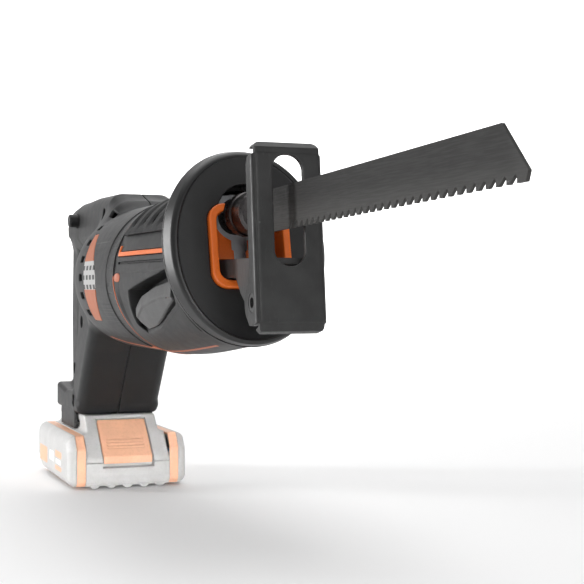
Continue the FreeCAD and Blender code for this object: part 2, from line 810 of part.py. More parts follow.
# ---------------------------------------------------------------- motor
def motor():
    """The brushed motor, its fan and the pinion that drives the crank gear."""
    z = S.motor_z
    rear, front = S.motor_rear_x, S.motor_front_x
    can = cut(cylinder((rear, 0, z), "x", S.motor_radius, front - rear),
              cylinder((rear - 1, 0, z), "x", S.motor_radius - 1.5, front - rear - 1.0),
              cylinder((front - 5, 0, z), "x", 6.0, 6.0))
    node(can, "motor_can")
    arcs = []
    for side in (-1, 1):
        arc = new_body()
        revolve(arc, [(130.0, 13.6), (168.0, 13.6), (168.0, 17.2), (130.0, 17.2)], 140)
        tilt = Rotation(Vector(1, 0, 0), 20 if side < 0 else 200)
        arcs.append(place(arc, (0, 0, z), tilt))
    node(group(*arcs), "motor_magnets")
    cap = fuse(cylinder((rear - 16.0, 0, z), "x", S.motor_radius, 3.0),
               tube((rear - 13.5, 0, z), "x", S.motor_radius, S.motor_radius - 2.0, 13.5),
               cylinder((rear - 14.0, 0, z), "x", 10.0, 5.0))
    node(cut(cap, cylinder((rear - 14.0, 0, z), "x", 8.05, 6.0),
             cylinder((rear - 20.0, 0, z), "x", 3.2, 12.0)), "motor_end_cap")
    rings = [tube((x, 0, z), "x", 8.0, S.shaft_radius + S.running, 5.0)
             for x in (rear - 14.0, S.case_rear_x)]
    node(group(*rings), "motor_bearings")
    shaft = cylinder((rear - 15.0, 0, z), "x", S.shaft_radius, 206.5 - rear.value + 15.0)
    node(shaft, "motor_shaft")
    slots = []
    for index in range(5):
        angle = math.radians(72 * index)
        slots.append(cylinder((131.0, 10.5 * math.cos(angle), z + 10.5 * math.sin(angle)), "x", 1.6, 36.0))
        slots.append(box((131.0, 12.0 * math.cos(angle) - 1.0, z + 12.0 * math.sin(angle) - 1.0),
                         (36.0, 2.0, 2.0)))
    core = cut(cylinder((132.0, 0, z), "x", 12.9, 34.0), *slots,
               cylinder((131.0, 0, z), "x", S.shaft_radius, 36.0))
    node(core, "rotor_core")
    coils = []
    for x in (132.0 - 4.2, 166.2):
        coil = cut(cylinder((x, 0, z), "x", 10.8, 4.0), cylinder((x, 0, z), "x", S.shaft_radius, 4.0))
        coils.append(coil)
    node(group(*coils), "rotor_windings")
    node(tube((115.5, 0, z), "x", 5.5, S.shaft_radius, 11.0), "commutator")
    brushes = []
    for side in (-1, 1):
        low_y = 5.9 if side > 0 else -15.9
        brushes.append(box((117.5, low_y, z - 2.5), (7.0, 10.0, 5.0)))
    node(group(*brushes), "motor_brushes")
    hub = tube((178.0, 0, z), "x", 6.0, S.shaft_radius, 8.0)
    disc = tube((184.6, 0, z), "x", 21.0, 5.5, 1.4)
    vanes = []
    for index in range(12):
        turn = Rotation(Vector(1, 0, 0), 30 * index)
        corner = turn.multVec(Vector(0, 9.0, -0.6))
        vane = box((0, 0, 0), (6.4, 11.5, 1.2))
        vanes.append(place(vane, (178.5, corner.y, z + corner.z), turn))
    node(fuse(hub, disc, *vanes), "cooling_fan")
    pinion = new_body()
    pad(pinion, "front", [], 0.0, 10.5, [(0, 0, 4.3)])
    tooth = pad(pinion, "front", [[(-0.7, 3.5), (0.7, 3.5), (0.4, 5.45), (-0.4, 5.45)]], 0.0, 10.5)
    ring = pinion.newObject("PartDesign::PolarPattern", "Teeth")
    ring.Originals = [tooth]
    along = [item for item in pinion.Origin.OriginFeatures if item.Role == "X_Axis"][0]
    ring.Axis = (along, [""])
    ring.Angle = 360
    bind(ring, "Occurrences", S.pinion_teeth)
    pinion.Tip = ring
    doc.recompute()
    pocket(pinion, "front", [], -1.0, 11.0, [(0, 0, S.shaft_radius)])
    place(pinion, (195.6, 0, z))
    node(pinion, "pinion")


# ---------------------------------------------------------------- blade
def blade():
    """The toothed blade, in its own frame along the tooth line, pitched up a little."""
    body = new_body()
    half = S.blade_thick / 2
    height = S.blade_height
    shank_low = 4.2
    pad(body, "side", [[(-6.0, shank_low + 0.2), (22.0, shank_low), (32.0, 0.0), (254.0, 0.0),
                        (255.5, 3.3), (240.0, height), (34.0, height), (25.0, shank_low + 12.7),
                        (-6.0, shank_low + 12.9)]], -half, half)
    pitch = S.tooth_pitch
    deep = S.tooth_depth
    start = 52.0
    gap = pocket(body, "side", [[(start + 1.8, -1.0), (start + 1.8, 0.0), (start + 4.9, deep - 0.3),
                                 (start + 5.8, deep), (start + pitch, deep - 0.7),
                                 (start + pitch, -1.0)]], -half - 0.2, half + 0.2)
    row = body.newObject("PartDesign::LinearPattern", "ToothRow")
    row.Originals = [gap]
    along = [item for item in body.Origin.OriginFeatures if item.Role == "X_Axis"][0]
    row.Direction = (along, [""])
    bind(row, "Length", pitch * (S.tooth_count - 1))
    bind(row, "Occurrences", S.tooth_count)
    body.Tip = row
    doc.recompute()
    pocket(body, "side", [], -half - 0.2, half + 0.2, [(5.0, shank_low + 2.1, 1.9)])
    turn = Rotation(Vector(0, 1, 0), -SIZES["blade_pitch_up"])
    node(place(body, (S.face_x, 0, 155.43), turn), "blade")


# ---------------------------------------------------------------- shoe
def shoe():
    """The pressed steel shoe: slotted plate, lips at both ends and two pivot ears."""
    body = new_body()
    front = S.shoe_front
    back = front - S.shoe_thick
    low, high = -13.2, 71.3
    pad(body, "side", [[(back, low + 4.0), (back, high - 4.0), (back - 1.2, high - 2.5),
                        (-1.0, high - 2.5), (-1.0, high), (front - 2.6, high), (front, high - 2.8),
                        (front, low + 5.0), (front - 1.6, low), (0.5, low - 1.0), (0.5, low + 1.4),
                        (back - 0.9, low + 2.2)]], -S.shoe_half_width, S.shoe_half_width)
    corners = []
    for side in (-1, 1):
        edge = side * S.shoe_half_width.value
        for end, inward in ((high, -1), (low - 1.0, 1)):
            corners.append([(edge + side, end - inward), (edge - 4.0 * side, end - inward),
                            (edge - 2.6 * side, end + inward * 0.6), (edge - 0.6 * side, end + inward * 2.6),
                            (edge + side, end + inward * 4.0)])
    pocket(body, "front", corners, -12.0, front.value + 1.0)
    slot_low, slot_high = 15.4, 65.4
    half = S.slot_half_width
    capsule = []
    steps = 9
    for index in range(steps):
        angle = math.pi * index / (steps - 1)
        capsule.append((half.value * math.cos(angle), slot_high - half.value + half.value * math.sin(angle)))
    for index in range(steps):
        angle = math.pi + math.pi * index / (steps - 1)
        capsule.append((half.value * math.cos(angle), slot_low + half.value + half.value * math.sin(angle)))
    pocket(body, "front", [capsule], back.value - 1.0, front.value + 1.0)
    for side in (-1, 1):
        outer = S.shoe_half_width * side
        inner = outer - S.shoe_thick * side
        ends = (outer, inner) if side < 0 else (inner, outer)
        ear = [(back + 0.5, -9.4), (back + 0.5, 65.0), (0.4, 65.0), (-1.6, 62.0), (-1.6, 16.0),
               (-3.2, 11.5)]
        bend = 7
        for index in range(bend):
            angle = math.radians(130 + 150 * index / (bend - 1))
            ear.append((9.4 * math.cos(angle), 9.4 * math.sin(angle)))
        pad(body, "side", [ear], *ends)
    pocket(body, "side", [], -20.0, 20.0, [(0, 0, S.pin_radius + S.running)])
    turn = Rotation(Vector(0, 1, 0), -SIZES["shoe_lean"])
    node(place(body, (S.shoe_pivot_x, 0, S.shoe_pivot_z), turn), "shoe")

    x, z = S.shoe_pivot_x, S.shoe_pivot_z
    web = new_body()
    pad(web, "side", [[(281.3, 135.4), (281.3, 144.0), (350.8, 144.0), (355.6, 131.0),
                       (x + 4.2, z + 1.0), (x + 3.2, z - 2.9), (x, z - 4.3), (x - 3.6, z - 3.2),
                       (338.0, 121.5), (328.0, 128.0), (321.0, 135.4)]], -13.0, 13.0)
    pocket(web, "side", [[(260.0, 130.0), (260.0, 141.4), (370.0, 141.4), (370.0, 100.0),
                          (330.0, 100.0)]], -10.6, 10.6)
    neck = S.pin_radius - 1.5
    bracket = cut(web, cylinder((x, -20, z), "y", neck, 40.0))
    node(bracket, "shoe_bracket")
    shoulders = [cylinder((x, y, z), "y", S.pin_radius, 3.2) for y in (-16.4, 13.2)]
    rivet = fuse(cylinder((x, -16.0, z), "y", neck, 32.0), *shoulders)
    dimples = [cylinder((x, y, z), "y", 2.4, 3.0) for y in (-17.0, 14.0)]
    node(cut(rivet, *dimples), "shoe_pivot_pin")


def lever():
    """The side lever in its recess, its pivot pin and its return spring."""
    blank = new_body()
    pad(blank, "side", [LEVER_OUTLINE], -60.0, RECESS_FLOOR - 0.5)
    shaped = common(blank, nose_skin(0.6))
    x, z = LEVER_PIVOT
    node(cut(shaped, cylinder((x, -60, z), "y", 1.56, 40.0)), "release_lever")
    node(cylinder((x, -34.6, z), "y", 1.5, 7.0), "lever_pin")


# ---------------------------------------------------------------- handle insides
def controls():
    """Trigger, lock-off button, switch and the electronics in the handle."""
    body = new_body()
    pad(body, "side", [[(-29.0, 120.0), (-29.0, 151.0), (-9.0, 151.0), (-4.0, 147.0),
                        (-6.0, 136.0), (-4.5, 124.0), (-8.0, 120.0)]], -7.8, 7.8)
    round_edges(body, 3.0, on_trigger_front)
    node(body, "trigger")
    node(spring((-38.6, 0, 136.0), "x", 3.4, 0.45, 8.8, 6.0), "trigger_spring")
    node(span_box((-48.6, -8.6, 112.0), (-39.5, 8.6, 150.0)), "switch")
    shaft = cylinder((-5.0, -27.6, 178.0), "y", 4.5, 49.6)
    node(shaft, "lock_off_button")
    node(box((24.0, -18.0, 66.0), (1.6, 36.0, 22.0), Rotation(Vector(0, 1, 0), 20)), "controller_board")


def on_trigger_front(edge):
    """Picks the trigger's front edges on its two flanks."""
    middle = edge.CenterOfMass
    return abs(abs(middle.y) - 7.8) < 0.05 and middle.x > -9.0


def terminals():
    """The tool's contact block above the battery."""
    block = span_box((-47.4, -14.0, 49.8), (-24.0, 14.0, 56.0))
    blades = [span_box((-47.0, y - 0.4, 40.0), (-35.0, y + 0.4, 50.5)) for y in (-10.0, 0.0, 10.0)]
    node(fuse(block, *blades), "terminal_block")


# ---------------------------------------------------------------- battery
def pack_side(inset):
    """The battery's side outline, made smaller by an inset."""
    rear, front = S.pack_rear_x + inset, S.pack_front_x - inset
    top = S.pack_height - inset
    low = 1.4 + inset
    return [(rear, 10.0 + inset * 0.6), (rear, top - 4.0), (rear + 4.0, top), (front - 7.0, top),
            (front, top - 9.0), (front, low + 3.0), (front - 3.0, low), (-42.0 + inset * 0.3, low)]


def hollow_slab(low, high):
    """A ring of the battery's outline between two distances across the saw."""
    body = new_body()
    pad(body, "side", [pack_side(0.0)], low, high)
    pocket(body, "side", [pack_side(SIZES["pack_wall"])], as_size(low) - 1, as_size(high) + 1)
    return body


def battery_case():
    """Upper and lower case, orange bands, end caps."""
    inside = S.pack_band_in
    middle = new_body()
    pad(middle, "side", [pack_side(0.0)], -inside, inside)
    block = new_body()
    half = S.block_half_width
    slope_top = (33.6, 43.6)
    pad(block, "side", [[(-52.0, 30.0), (-52.0, S.block_top_z), (31.0, S.block_top_z), slope_top,
                         (S.pack_front_x, 20.2), (S.pack_front_x, 15.0), (40.0, 15.0)]], -half, half)
    room = new_body()
    wall = S.pack_wall
    pad(room, "side", [pack_side(SIZES["pack_wall"])], -inside - 1, inside + 1)
    slope_room = new_body()
    pad(slope_room, "side", [[(20.0, 43.0), (60.0, 3.0), (60.0, 60.0), (20.0, 60.0)]],
        -inside - 2, inside + 2)
    cavity = cut(room, slope_room)
    above_slope = new_body()
    pad(above_slope, "side", [[(33.6, 43.6), (60.0, 17.2), (60.0, 60.0), (33.6, 60.0)]],
        -inside - 1, inside + 1)
    seat = place(cylinder((0, 0, 0), "z", 3.6, 6.0), (38.05, 0, 27.05), Rotation(Vector(0, 1, 0), 45))
    top_cavity = new_body()
    pad(top_cavity, "side", [[(-20.0, 30.0), (-20.0, S.block_top_z - wall), (22.0, S.block_top_z - wall),
                              (22.0, 30.0)]], -19.0, 19.0)
    solid = fuse(middle, block)
    grooves = []
    for side in (-1, 1):
        ends = (-30.0, -22.4) if side < 0 else (22.4, 30.0)
        grooves.append(span_box((-60.0, ends[0], 37.2), (17.0, ends[1], 41.8)))
    slots = [span_box((-60.0, y - 1.6, 32.0), (-31.0, y + 1.6, 50.0)) for y in (-10.0, 0.0, 10.0)]
    bed = new_body()
    pad(bed, "side", [[(34.0, 45.0), (58.5, 21.0), (58.5, 13.6), (52.8, 13.6), (52.8, 16.8),
                       (31.0, 38.6), (29.0, 40.6)]], -17.0, 17.0)
    shell = cut(solid, above_slope, cavity, top_cavity, *grooves, *slots, bed, seat)
    split = 17.0
    upper = common(shell, span_box((-60, -50, split + 0.1), (70, 50, 60)))
    node(upper, "battery_upper_case")
    ribs = []
    for index in range(5):
        y = -22.0 + 11.0 * index
        rib = new_body()
        pad(rib, "front", [[(y - 3.6, 1.8), (y - 1.2, 0.0), (y + 1.2, 0.0), (y + 3.6, 1.8)]], -36.0, 53.0)
        ribs.append(rib)
    lower = common(shell, span_box((-60, -50, -5), (70, 50, split - 0.1)))
    node(fuse(lower, *ribs), "battery_lower_case")
    gap = 0.1
    rings = [hollow_slab(S.pack_band_in + gap, S.pack_band_out - gap),
             hollow_slab(-S.pack_band_out + gap, -S.pack_band_in - gap)]
    node(group(*rings), "battery_bands")
    for side, label in ((-1, "battery_cap_right"), (1, "battery_cap_left")):
        cap = new_body()
        near = S.pack_band_out
        far = S.pack_half_width
        ends = (-far, -near) if side < 0 else (near, far)
        pad(cap, "side", [pack_side(0.0)], *ends)
        round_edges(cap, 4.0, on_plane("y", side * far.value), "Chamfer")
        inner = (-far + 2.2, -near + 1) if side < 0 else (near - 1, far - 2.2)
        pocket(cap, "side", [pack_side(5.0)], *inner)
        node(cap, label)


def battery_insides():
    """Cells, their holders and straps, the board and the contacts."""
    cells = []
    radius = S.cell_radius
    length = S.cell_length
    spacing = 19.0
    height = 13.6
    spots = [(-40.0 + spacing * index, height) for index in range(SIZES["cell_count"])]
    for x, z in spots:
        can = cylinder((x, -length / 2, z), "y", radius, length)
        button = cylinder((x, length / 2, z), "y", 3.0, 0.8)
        cells.append(fuse(can, button))
    node(group(*cells), "battery_cells")
    holders = []
    for y in (-24.0, 21.0):
        plate = span_box((-50.5, y, 3.8), (38.5, y + 3.0, 24.0))
        bores = [cylinder((x, y - 1, z), "y", radius + 0.05, 5.0) for x, z in spots]
        outline = new_body()
        pad(outline, "side", [pack_side(SIZES["pack_wall"] + 0.2)], y - 1.0, y + 4.0)
        holders.append(cut(common(plate, outline), *bores))
    node(group(*holders), "cell_holders")
    straps = []
    for first in (0, 2):
        straps.append(span_box((spots[first][0] - 3, -33.0, 10.6), (spots[first + 1][0] + 3, -32.6, 16.6)))
    for first in (1, 3):
        straps.append(span_box((spots[first][0] - 3, 33.4, 10.6), (spots[first + 1][0] + 3, 33.8, 16.6)))
    node(group(*straps), "cell_straps")
    node(span_box((-50.0, -18.0, 27.0), (30.0, 18.0, 28.6)), "battery_board")
    contacts = []
    for y in (-10.0, 0.0, 10.0):
        for side in (-1, 1):
            low_y = y + 0.75 if side > 0 else y - 1.35
            contacts.append(span_box((-50.0, low_y, 28.8), (-34.0, low_y + 0.6, 45.0)))
    node(group(*contacts), "battery_contacts")
    button = new_body()
    pad(button, "side", [[(34.0, 43.4), (56.4, 21.0), (56.4, 16.2), (55.6, 16.2), (55.4, 18.4),
                          (50.0, 23.6), (33.4, 40.2)]], -16.4, 16.4)
    round_edges(button, 1.0, parallel("y", [(34.0, None, 43.4)], 0.6))
    node(button, "battery_latch_button")
    latch = spring((0, 0, 0), "z", 3.0, 0.4, 4.4, 3.0)
    push = Rotation(Vector(0, 1, 0), 45)
    node(place(latch, (38.4, 0, 27.4), push), "latch_spring")


gear_covers()
overmoulds()
nose()
rear_housing()
bands()
gear_case()
crank()
plunger()
clamp()
motor()
blade()
shoe()
lever()
controls()
terminals()
battery_case()
battery_insides()

doc.recompute()
for thing in doc.Objects:
    if "Invalid" in thing.State or "Error" in thing.State:
        owners = [owner.Label for owner in thing.InList]
        raise RuntimeError(f"{thing.Label} of {owners} failed: {thing.State}")
os.makedirs("parts", exist_ok=True)
for part in nodes:
    if part.Shape.isNull() or not part.Shape.isValid():
        raise RuntimeError(f"{part.Label} has no valid shape")
    part.Shape.exportStep(f"parts/{part.Label}.step")
print(len(nodes), "sub-parts written")
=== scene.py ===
"""Looks of a cordless reciprocating saw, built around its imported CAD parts.

Moulded and pressed pieces are shaped as distance fields in millimetres and meshed with
surface nets. They follow the CAD parts that they stand for. Everything else keeps its CAD mesh
and gets a finish.
"""
import json
import math

import bpy
import numpy as np
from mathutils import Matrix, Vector


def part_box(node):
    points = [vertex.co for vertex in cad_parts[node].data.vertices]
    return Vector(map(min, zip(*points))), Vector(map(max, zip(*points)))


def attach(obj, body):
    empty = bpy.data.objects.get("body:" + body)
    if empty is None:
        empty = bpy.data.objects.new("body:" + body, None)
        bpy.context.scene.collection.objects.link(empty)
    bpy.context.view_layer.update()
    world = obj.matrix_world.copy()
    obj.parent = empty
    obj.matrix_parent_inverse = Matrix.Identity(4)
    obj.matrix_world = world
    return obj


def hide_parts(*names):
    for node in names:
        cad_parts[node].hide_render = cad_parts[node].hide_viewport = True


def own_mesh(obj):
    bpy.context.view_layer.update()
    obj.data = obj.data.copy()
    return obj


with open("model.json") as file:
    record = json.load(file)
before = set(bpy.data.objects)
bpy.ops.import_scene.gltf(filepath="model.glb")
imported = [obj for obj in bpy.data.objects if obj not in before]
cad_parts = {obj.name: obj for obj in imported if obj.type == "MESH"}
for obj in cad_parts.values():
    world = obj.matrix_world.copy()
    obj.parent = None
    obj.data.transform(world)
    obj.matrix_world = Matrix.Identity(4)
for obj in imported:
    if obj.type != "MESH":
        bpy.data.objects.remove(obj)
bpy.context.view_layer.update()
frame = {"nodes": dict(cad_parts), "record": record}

MM = 0.001


def span(node):
    """A CAD node's lowest and highest corners, in millimetres."""
    low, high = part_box(node)
    return np.array(low) / MM, np.array(high) / MM


# -------- distance fields
def hypot(*parts):
    return np.sqrt(sum(part * part for part in parts))


def ramp(value, start, end):
    """0 before start, 1 after end, smooth between."""
    share = np.clip((value - start) / (end - start), 0.0, 1.0)
    return share * share * (3.0 - 2.0 * share)


def meet(first, second, edge=0.0):
    """Where both fields hold, with the edge between them rounded."""
    if edge <= 0.0:
        return np.maximum(first, second)
    outside = hypot(np.maximum(first + edge, 0.0), np.maximum(second + edge, 0.0))
    return np.minimum(np.maximum(first, second), -edge) + outside


def join(first, second, fillet=0.0):
    """Where either field holds, with the corner between them filled."""
    return -meet(-first, -second, fillet)


def cut(solid, tool, edge=0.0):
    """The solid without the tool, with the rim rounded."""
    return meet(solid, -tool, edge)


def outline(u, v, corners):
    """Signed distance to a closed outline in its plane."""
    nearest = np.full(u.shape, 1e9)
    inside = np.zeros(u.shape, bool)
    count = len(corners)
    for index in range(count):
        au, av = corners[index]
        bu, bv = corners[(index + 1) % count]
        eu, ev = bu - au, bv - av
        share = np.clip(((u - au) * eu + (v - av) * ev) / (eu * eu + ev * ev), 0.0, 1.0)
        nearest = np.minimum(nearest, hypot(u - au - eu * share, v - av - ev * share))
        crosses = (av > v) != (bv > v)
        if ev:
            inside ^= crosses & (u < au + eu * (v - av) / ev)
    return np.where(inside, -nearest, nearest)


def inset(corners, depth):
    """The outline moved inwards, each corner along its bisector."""
    count = len(corners)
    area = sum(corners[i][0] * corners[(i + 1) % count][1] - corners[(i + 1) % count][0] * corners[i][1]
               for i in range(count))
    turn = math.copysign(1.0, area)
    moved = []
    for index in range(count):
        before, here, after = (Vector(corners[(index + step) % count]) for step in (-1, 0, 1))
        normals = []
        for start, end in ((before, here), (here, after)):
            way = (end - start).normalized()
            normals.append(Vector((-way.y, way.x)) * turn)
        bisector = normals[0] + normals[1]
        point = here + bisector * (depth / (1.0 + normals[0].dot(normals[1])))
        moved.append((point.x, point.y))
    return moved


def soft_outline(u, v, corners, corner):
    """An outline whose outer corners are rounded."""
    return outline(u, v, inset(corners, corner)) - corner


def slab(value, low, high):
    return np.abs(value - (low + high) / 2) - (high - low) / 2


def prism(p, corners, low, high, corner=0.0, edge=0.0):
    """A side outline given thickness across the saw."""
    if corner > 0.0:
        face = soft_outline(p[:, 0], p[:, 2], corners, corner)
    else:
        face = outline(p[:, 0], p[:, 2], corners)
    return meet(face, slab(p[:, 1], low, high), edge)


def brick(p, low, high, edge=0.0):
    low, high = np.array(low, float), np.array(high, float)
    away = np.abs(p - (low + high) / 2) - (high - low) / 2 + edge
    return hypot(*np.maximum(away, 0.0).T) + np.minimum(away.max(1), 0.0) - edge


def rod(p, start, axis, length, radius, edge=0.0):
    """A round bar from a point along one world axis."""
    across = [(axis + 1) % 3, (axis + 2) % 3]
    away = hypot(p[:, across[0]] - start[across[0]], p[:, across[1]] - start[across[1]]) - radius
    return meet(away, slab(p[:, axis], start[axis], start[axis] + length), edge)


# -------- meshing
BLOCK = 8


def sampled(field, low, high, cell):
    """Field values on a grid, worked out finely only in blocks that the surface may cross."""
    low = np.array(low, float) - 2 * cell
    blocks = np.ceil((np.array(high, float) + 2 * cell - low) / (cell * BLOCK)).astype(int)
    middles = [low[axis] + cell * (BLOCK * np.arange(blocks[axis]) + (BLOCK - 1) / 2) for axis in range(3)]
    centres = np.stack(np.meshgrid(*middles, indexing="ij"), -1).reshape(-1, 3)
    far = field(centres)
    values = np.broadcast_to(far[:, None], (len(far), BLOCK ** 3)).astype(np.float32)
    near = np.flatnonzero(np.abs(far) < cell * BLOCK * 1.25)
    offsets = np.stack(np.meshgrid(*[np.arange(BLOCK)] * 3, indexing="ij"), -1).reshape(-1, 3)
    offsets = (offsets - (BLOCK - 1) / 2) * cell
    for part in np.array_split(near, max(1, len(near) // 1500)):
        points = (centres[part][:, None, :] + offsets[None]).reshape(-1, 3)
        values[part] = field(points).reshape(len(part), -1)
    shape = (*blocks, BLOCK, BLOCK, BLOCK)
    grid = values.reshape(shape).transpose(0, 3, 1, 4, 2, 5)
    return grid.reshape(blocks * BLOCK), low


def surface_nets(field, low, high, cell):
    """Points and quads where a distance field crosses zero."""
    values, low = sampled(field, low, high, cell)
    size = values.shape
    steps = np.array([(i, j, k) for i in (0, 1) for j in (0, 1) for k in (0, 1)])
    cells = tuple(length - 1 for length in size)
    inside = values < 0.0
    count = np.zeros(cells, np.int8)
    for i, j, k in steps:
        count += inside[i:i + cells[0], j:j + cells[1], k:k + cells[2]]
    mixed = np.argwhere((count > 0) & (count < 8))
    corner = np.stack([values[tuple((mixed + step).T)] for step in steps], 1)
    total = np.zeros((len(mixed), 3))
    hits = np.zeros(len(mixed))
    for a in range(8):
        for b in range(a + 1, 8):
            if np.abs(steps[a] - steps[b]).sum() != 1:
                continue
            crosses = (corner[:, a] < 0) != (corner[:, b] < 0)
            gap = np.where(crosses, corner[:, a] - corner[:, b], 1.0)
            share = np.where(crosses, corner[:, a] / gap, 0.0)
            total += np.where(crosses[:, None], steps[a] + share[:, None] * (steps[b] - steps[a]), 0.0)
            hits += crosses
    points = low + cell * (mixed + total / hits[:, None])
    number = np.full(cells, -1, np.int32)
    number[tuple(mixed.T)] = np.arange(len(mixed))
    quads = []
    for axis in range(3):
        side = [(axis + 1) % 3, (axis + 2) % 3]
        ahead = np.zeros(3, int)
        ahead[axis] = 1
        first = inside[:size[0] - ahead[0], :size[1] - ahead[1], :size[2] - ahead[2]]
        second = inside[ahead[0]:, ahead[1]:, ahead[2]:]
        edges = np.argwhere(first != second)
        outward = first[tuple(edges.T)]
        ring = []
        for du, dv in ((-1, -1), (0, -1), (0, 0), (-1, 0)):
            at = edges.copy()
            at[:, side[0]] += du
            at[:, side[1]] += dv
            ring.append(number[tuple(at.T)])
        ring = np.stack(ring, 1)
        quads.append(np.where(outward[:, None], ring, ring[:, ::-1]))
    return points, np.concatenate(quads)


def gradient(field, points, reach=0.05):
    """The field's direction of growth at each point."""
    way = np.zeros(points.shape)
    for axis in range(3):
        step = np.zeros(3)
        step[axis] = reach
        way[:, axis] = field(points + step) - field(points - step)
    return way / np.maximum(hypot(*way.T), 1e-9)[:, None]


def settle(field, points, reach):
    """Moves points onto the surface, by no more than a reach."""
    for _ in range(2):
        away = np.clip(field(points), -reach, reach)
        points = points - gradient(field, points) * away[:, None]
    return points


def new_mesh(name, points, faces):
    """An object from points in millimetres."""
    mesh = bpy.data.meshes.new(name)
    mesh.from_pydata((points * MM).tolist(), [], [list(map(int, face)) for face in faces])
    mesh.polygons.foreach_set("use_smooth", [True] * len(mesh.polygons))
    mesh.validate()
    made = bpy.data.objects.new(name, mesh)
    bpy.context.scene.collection.objects.link(made)
    return made


def finish_piece(made, body, finish, replaced=()):
    """Gives a piece its finish and its place in the assembly."""
    made.data.materials.append(finish)
    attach(made, body)
    if replaced:
        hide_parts(*replaced)
    return made


def thin_out(made, triangles):
    """Brings a dense mesh near a number of triangles, which stay small where it curves."""
    faces = 2 * len(made.data.polygons)
    if faces <= triangles:
        return
    fewer = made.modifiers.new("fewer", "DECIMATE")
    fewer.ratio = triangles / faces
    depsgraph = bpy.context.evaluated_depsgraph_get()
    light = bpy.data.meshes.new_from_object(made.evaluated_get(depsgraph))
    heavy = made.data
    made.modifiers.remove(fewer)
    made.data = light
    bpy.data.meshes.remove(heavy)
    light.name = made.name


def mould(name, field, low, high, cell, triangles=60000):
    """A piece meshed from a field, its shading taken from the field itself."""
    points, quads = surface_nets(field, low, high, cell)
    points = settle(field, points, cell * 0.3)
    made = new_mesh(name, points, quads)
    thin_out(made, triangles)
    mesh = made.data
    flat = np.zeros(len(mesh.vertices) * 3, np.float32)
    mesh.vertices.foreach_get("co", flat)
    points = flat.reshape(-1, 3).astype(float) / MM
    normals = gradient(field, points, cell * 0.6)
    mesh.polygons.foreach_set("use_smooth", [True] * len(mesh.polygons))
    mesh.normals_split_custom_set_from_vertices(normals.tolist())
    return made


def mirrored(source, name):
    """The same piece for the other side of the saw."""
    mesh = source.data.copy()
    count = len(mesh.vertices)
    flat = np.zeros(count * 3, np.float32)
    normals = np.zeros(count * 3, np.float32)
    mesh.vertices.foreach_get("co", flat)
    mesh.vertex_normals.foreach_get("vector", normals)
    flat = flat.reshape(-1, 3) * (1, -1, 1)
    normals = normals.reshape(-1, 3) * (1, -1, 1)
    mesh.vertices.foreach_set("co", flat.ravel())
    mesh.flip_normals()
    mesh.normals_split_custom_set_from_vertices(normals.tolist())
    mesh.name = name
    made = bpy.data.objects.new(name, mesh)
    mesh.materials.clear()
    bpy.context.scene.collection.objects.link(made)
    return made


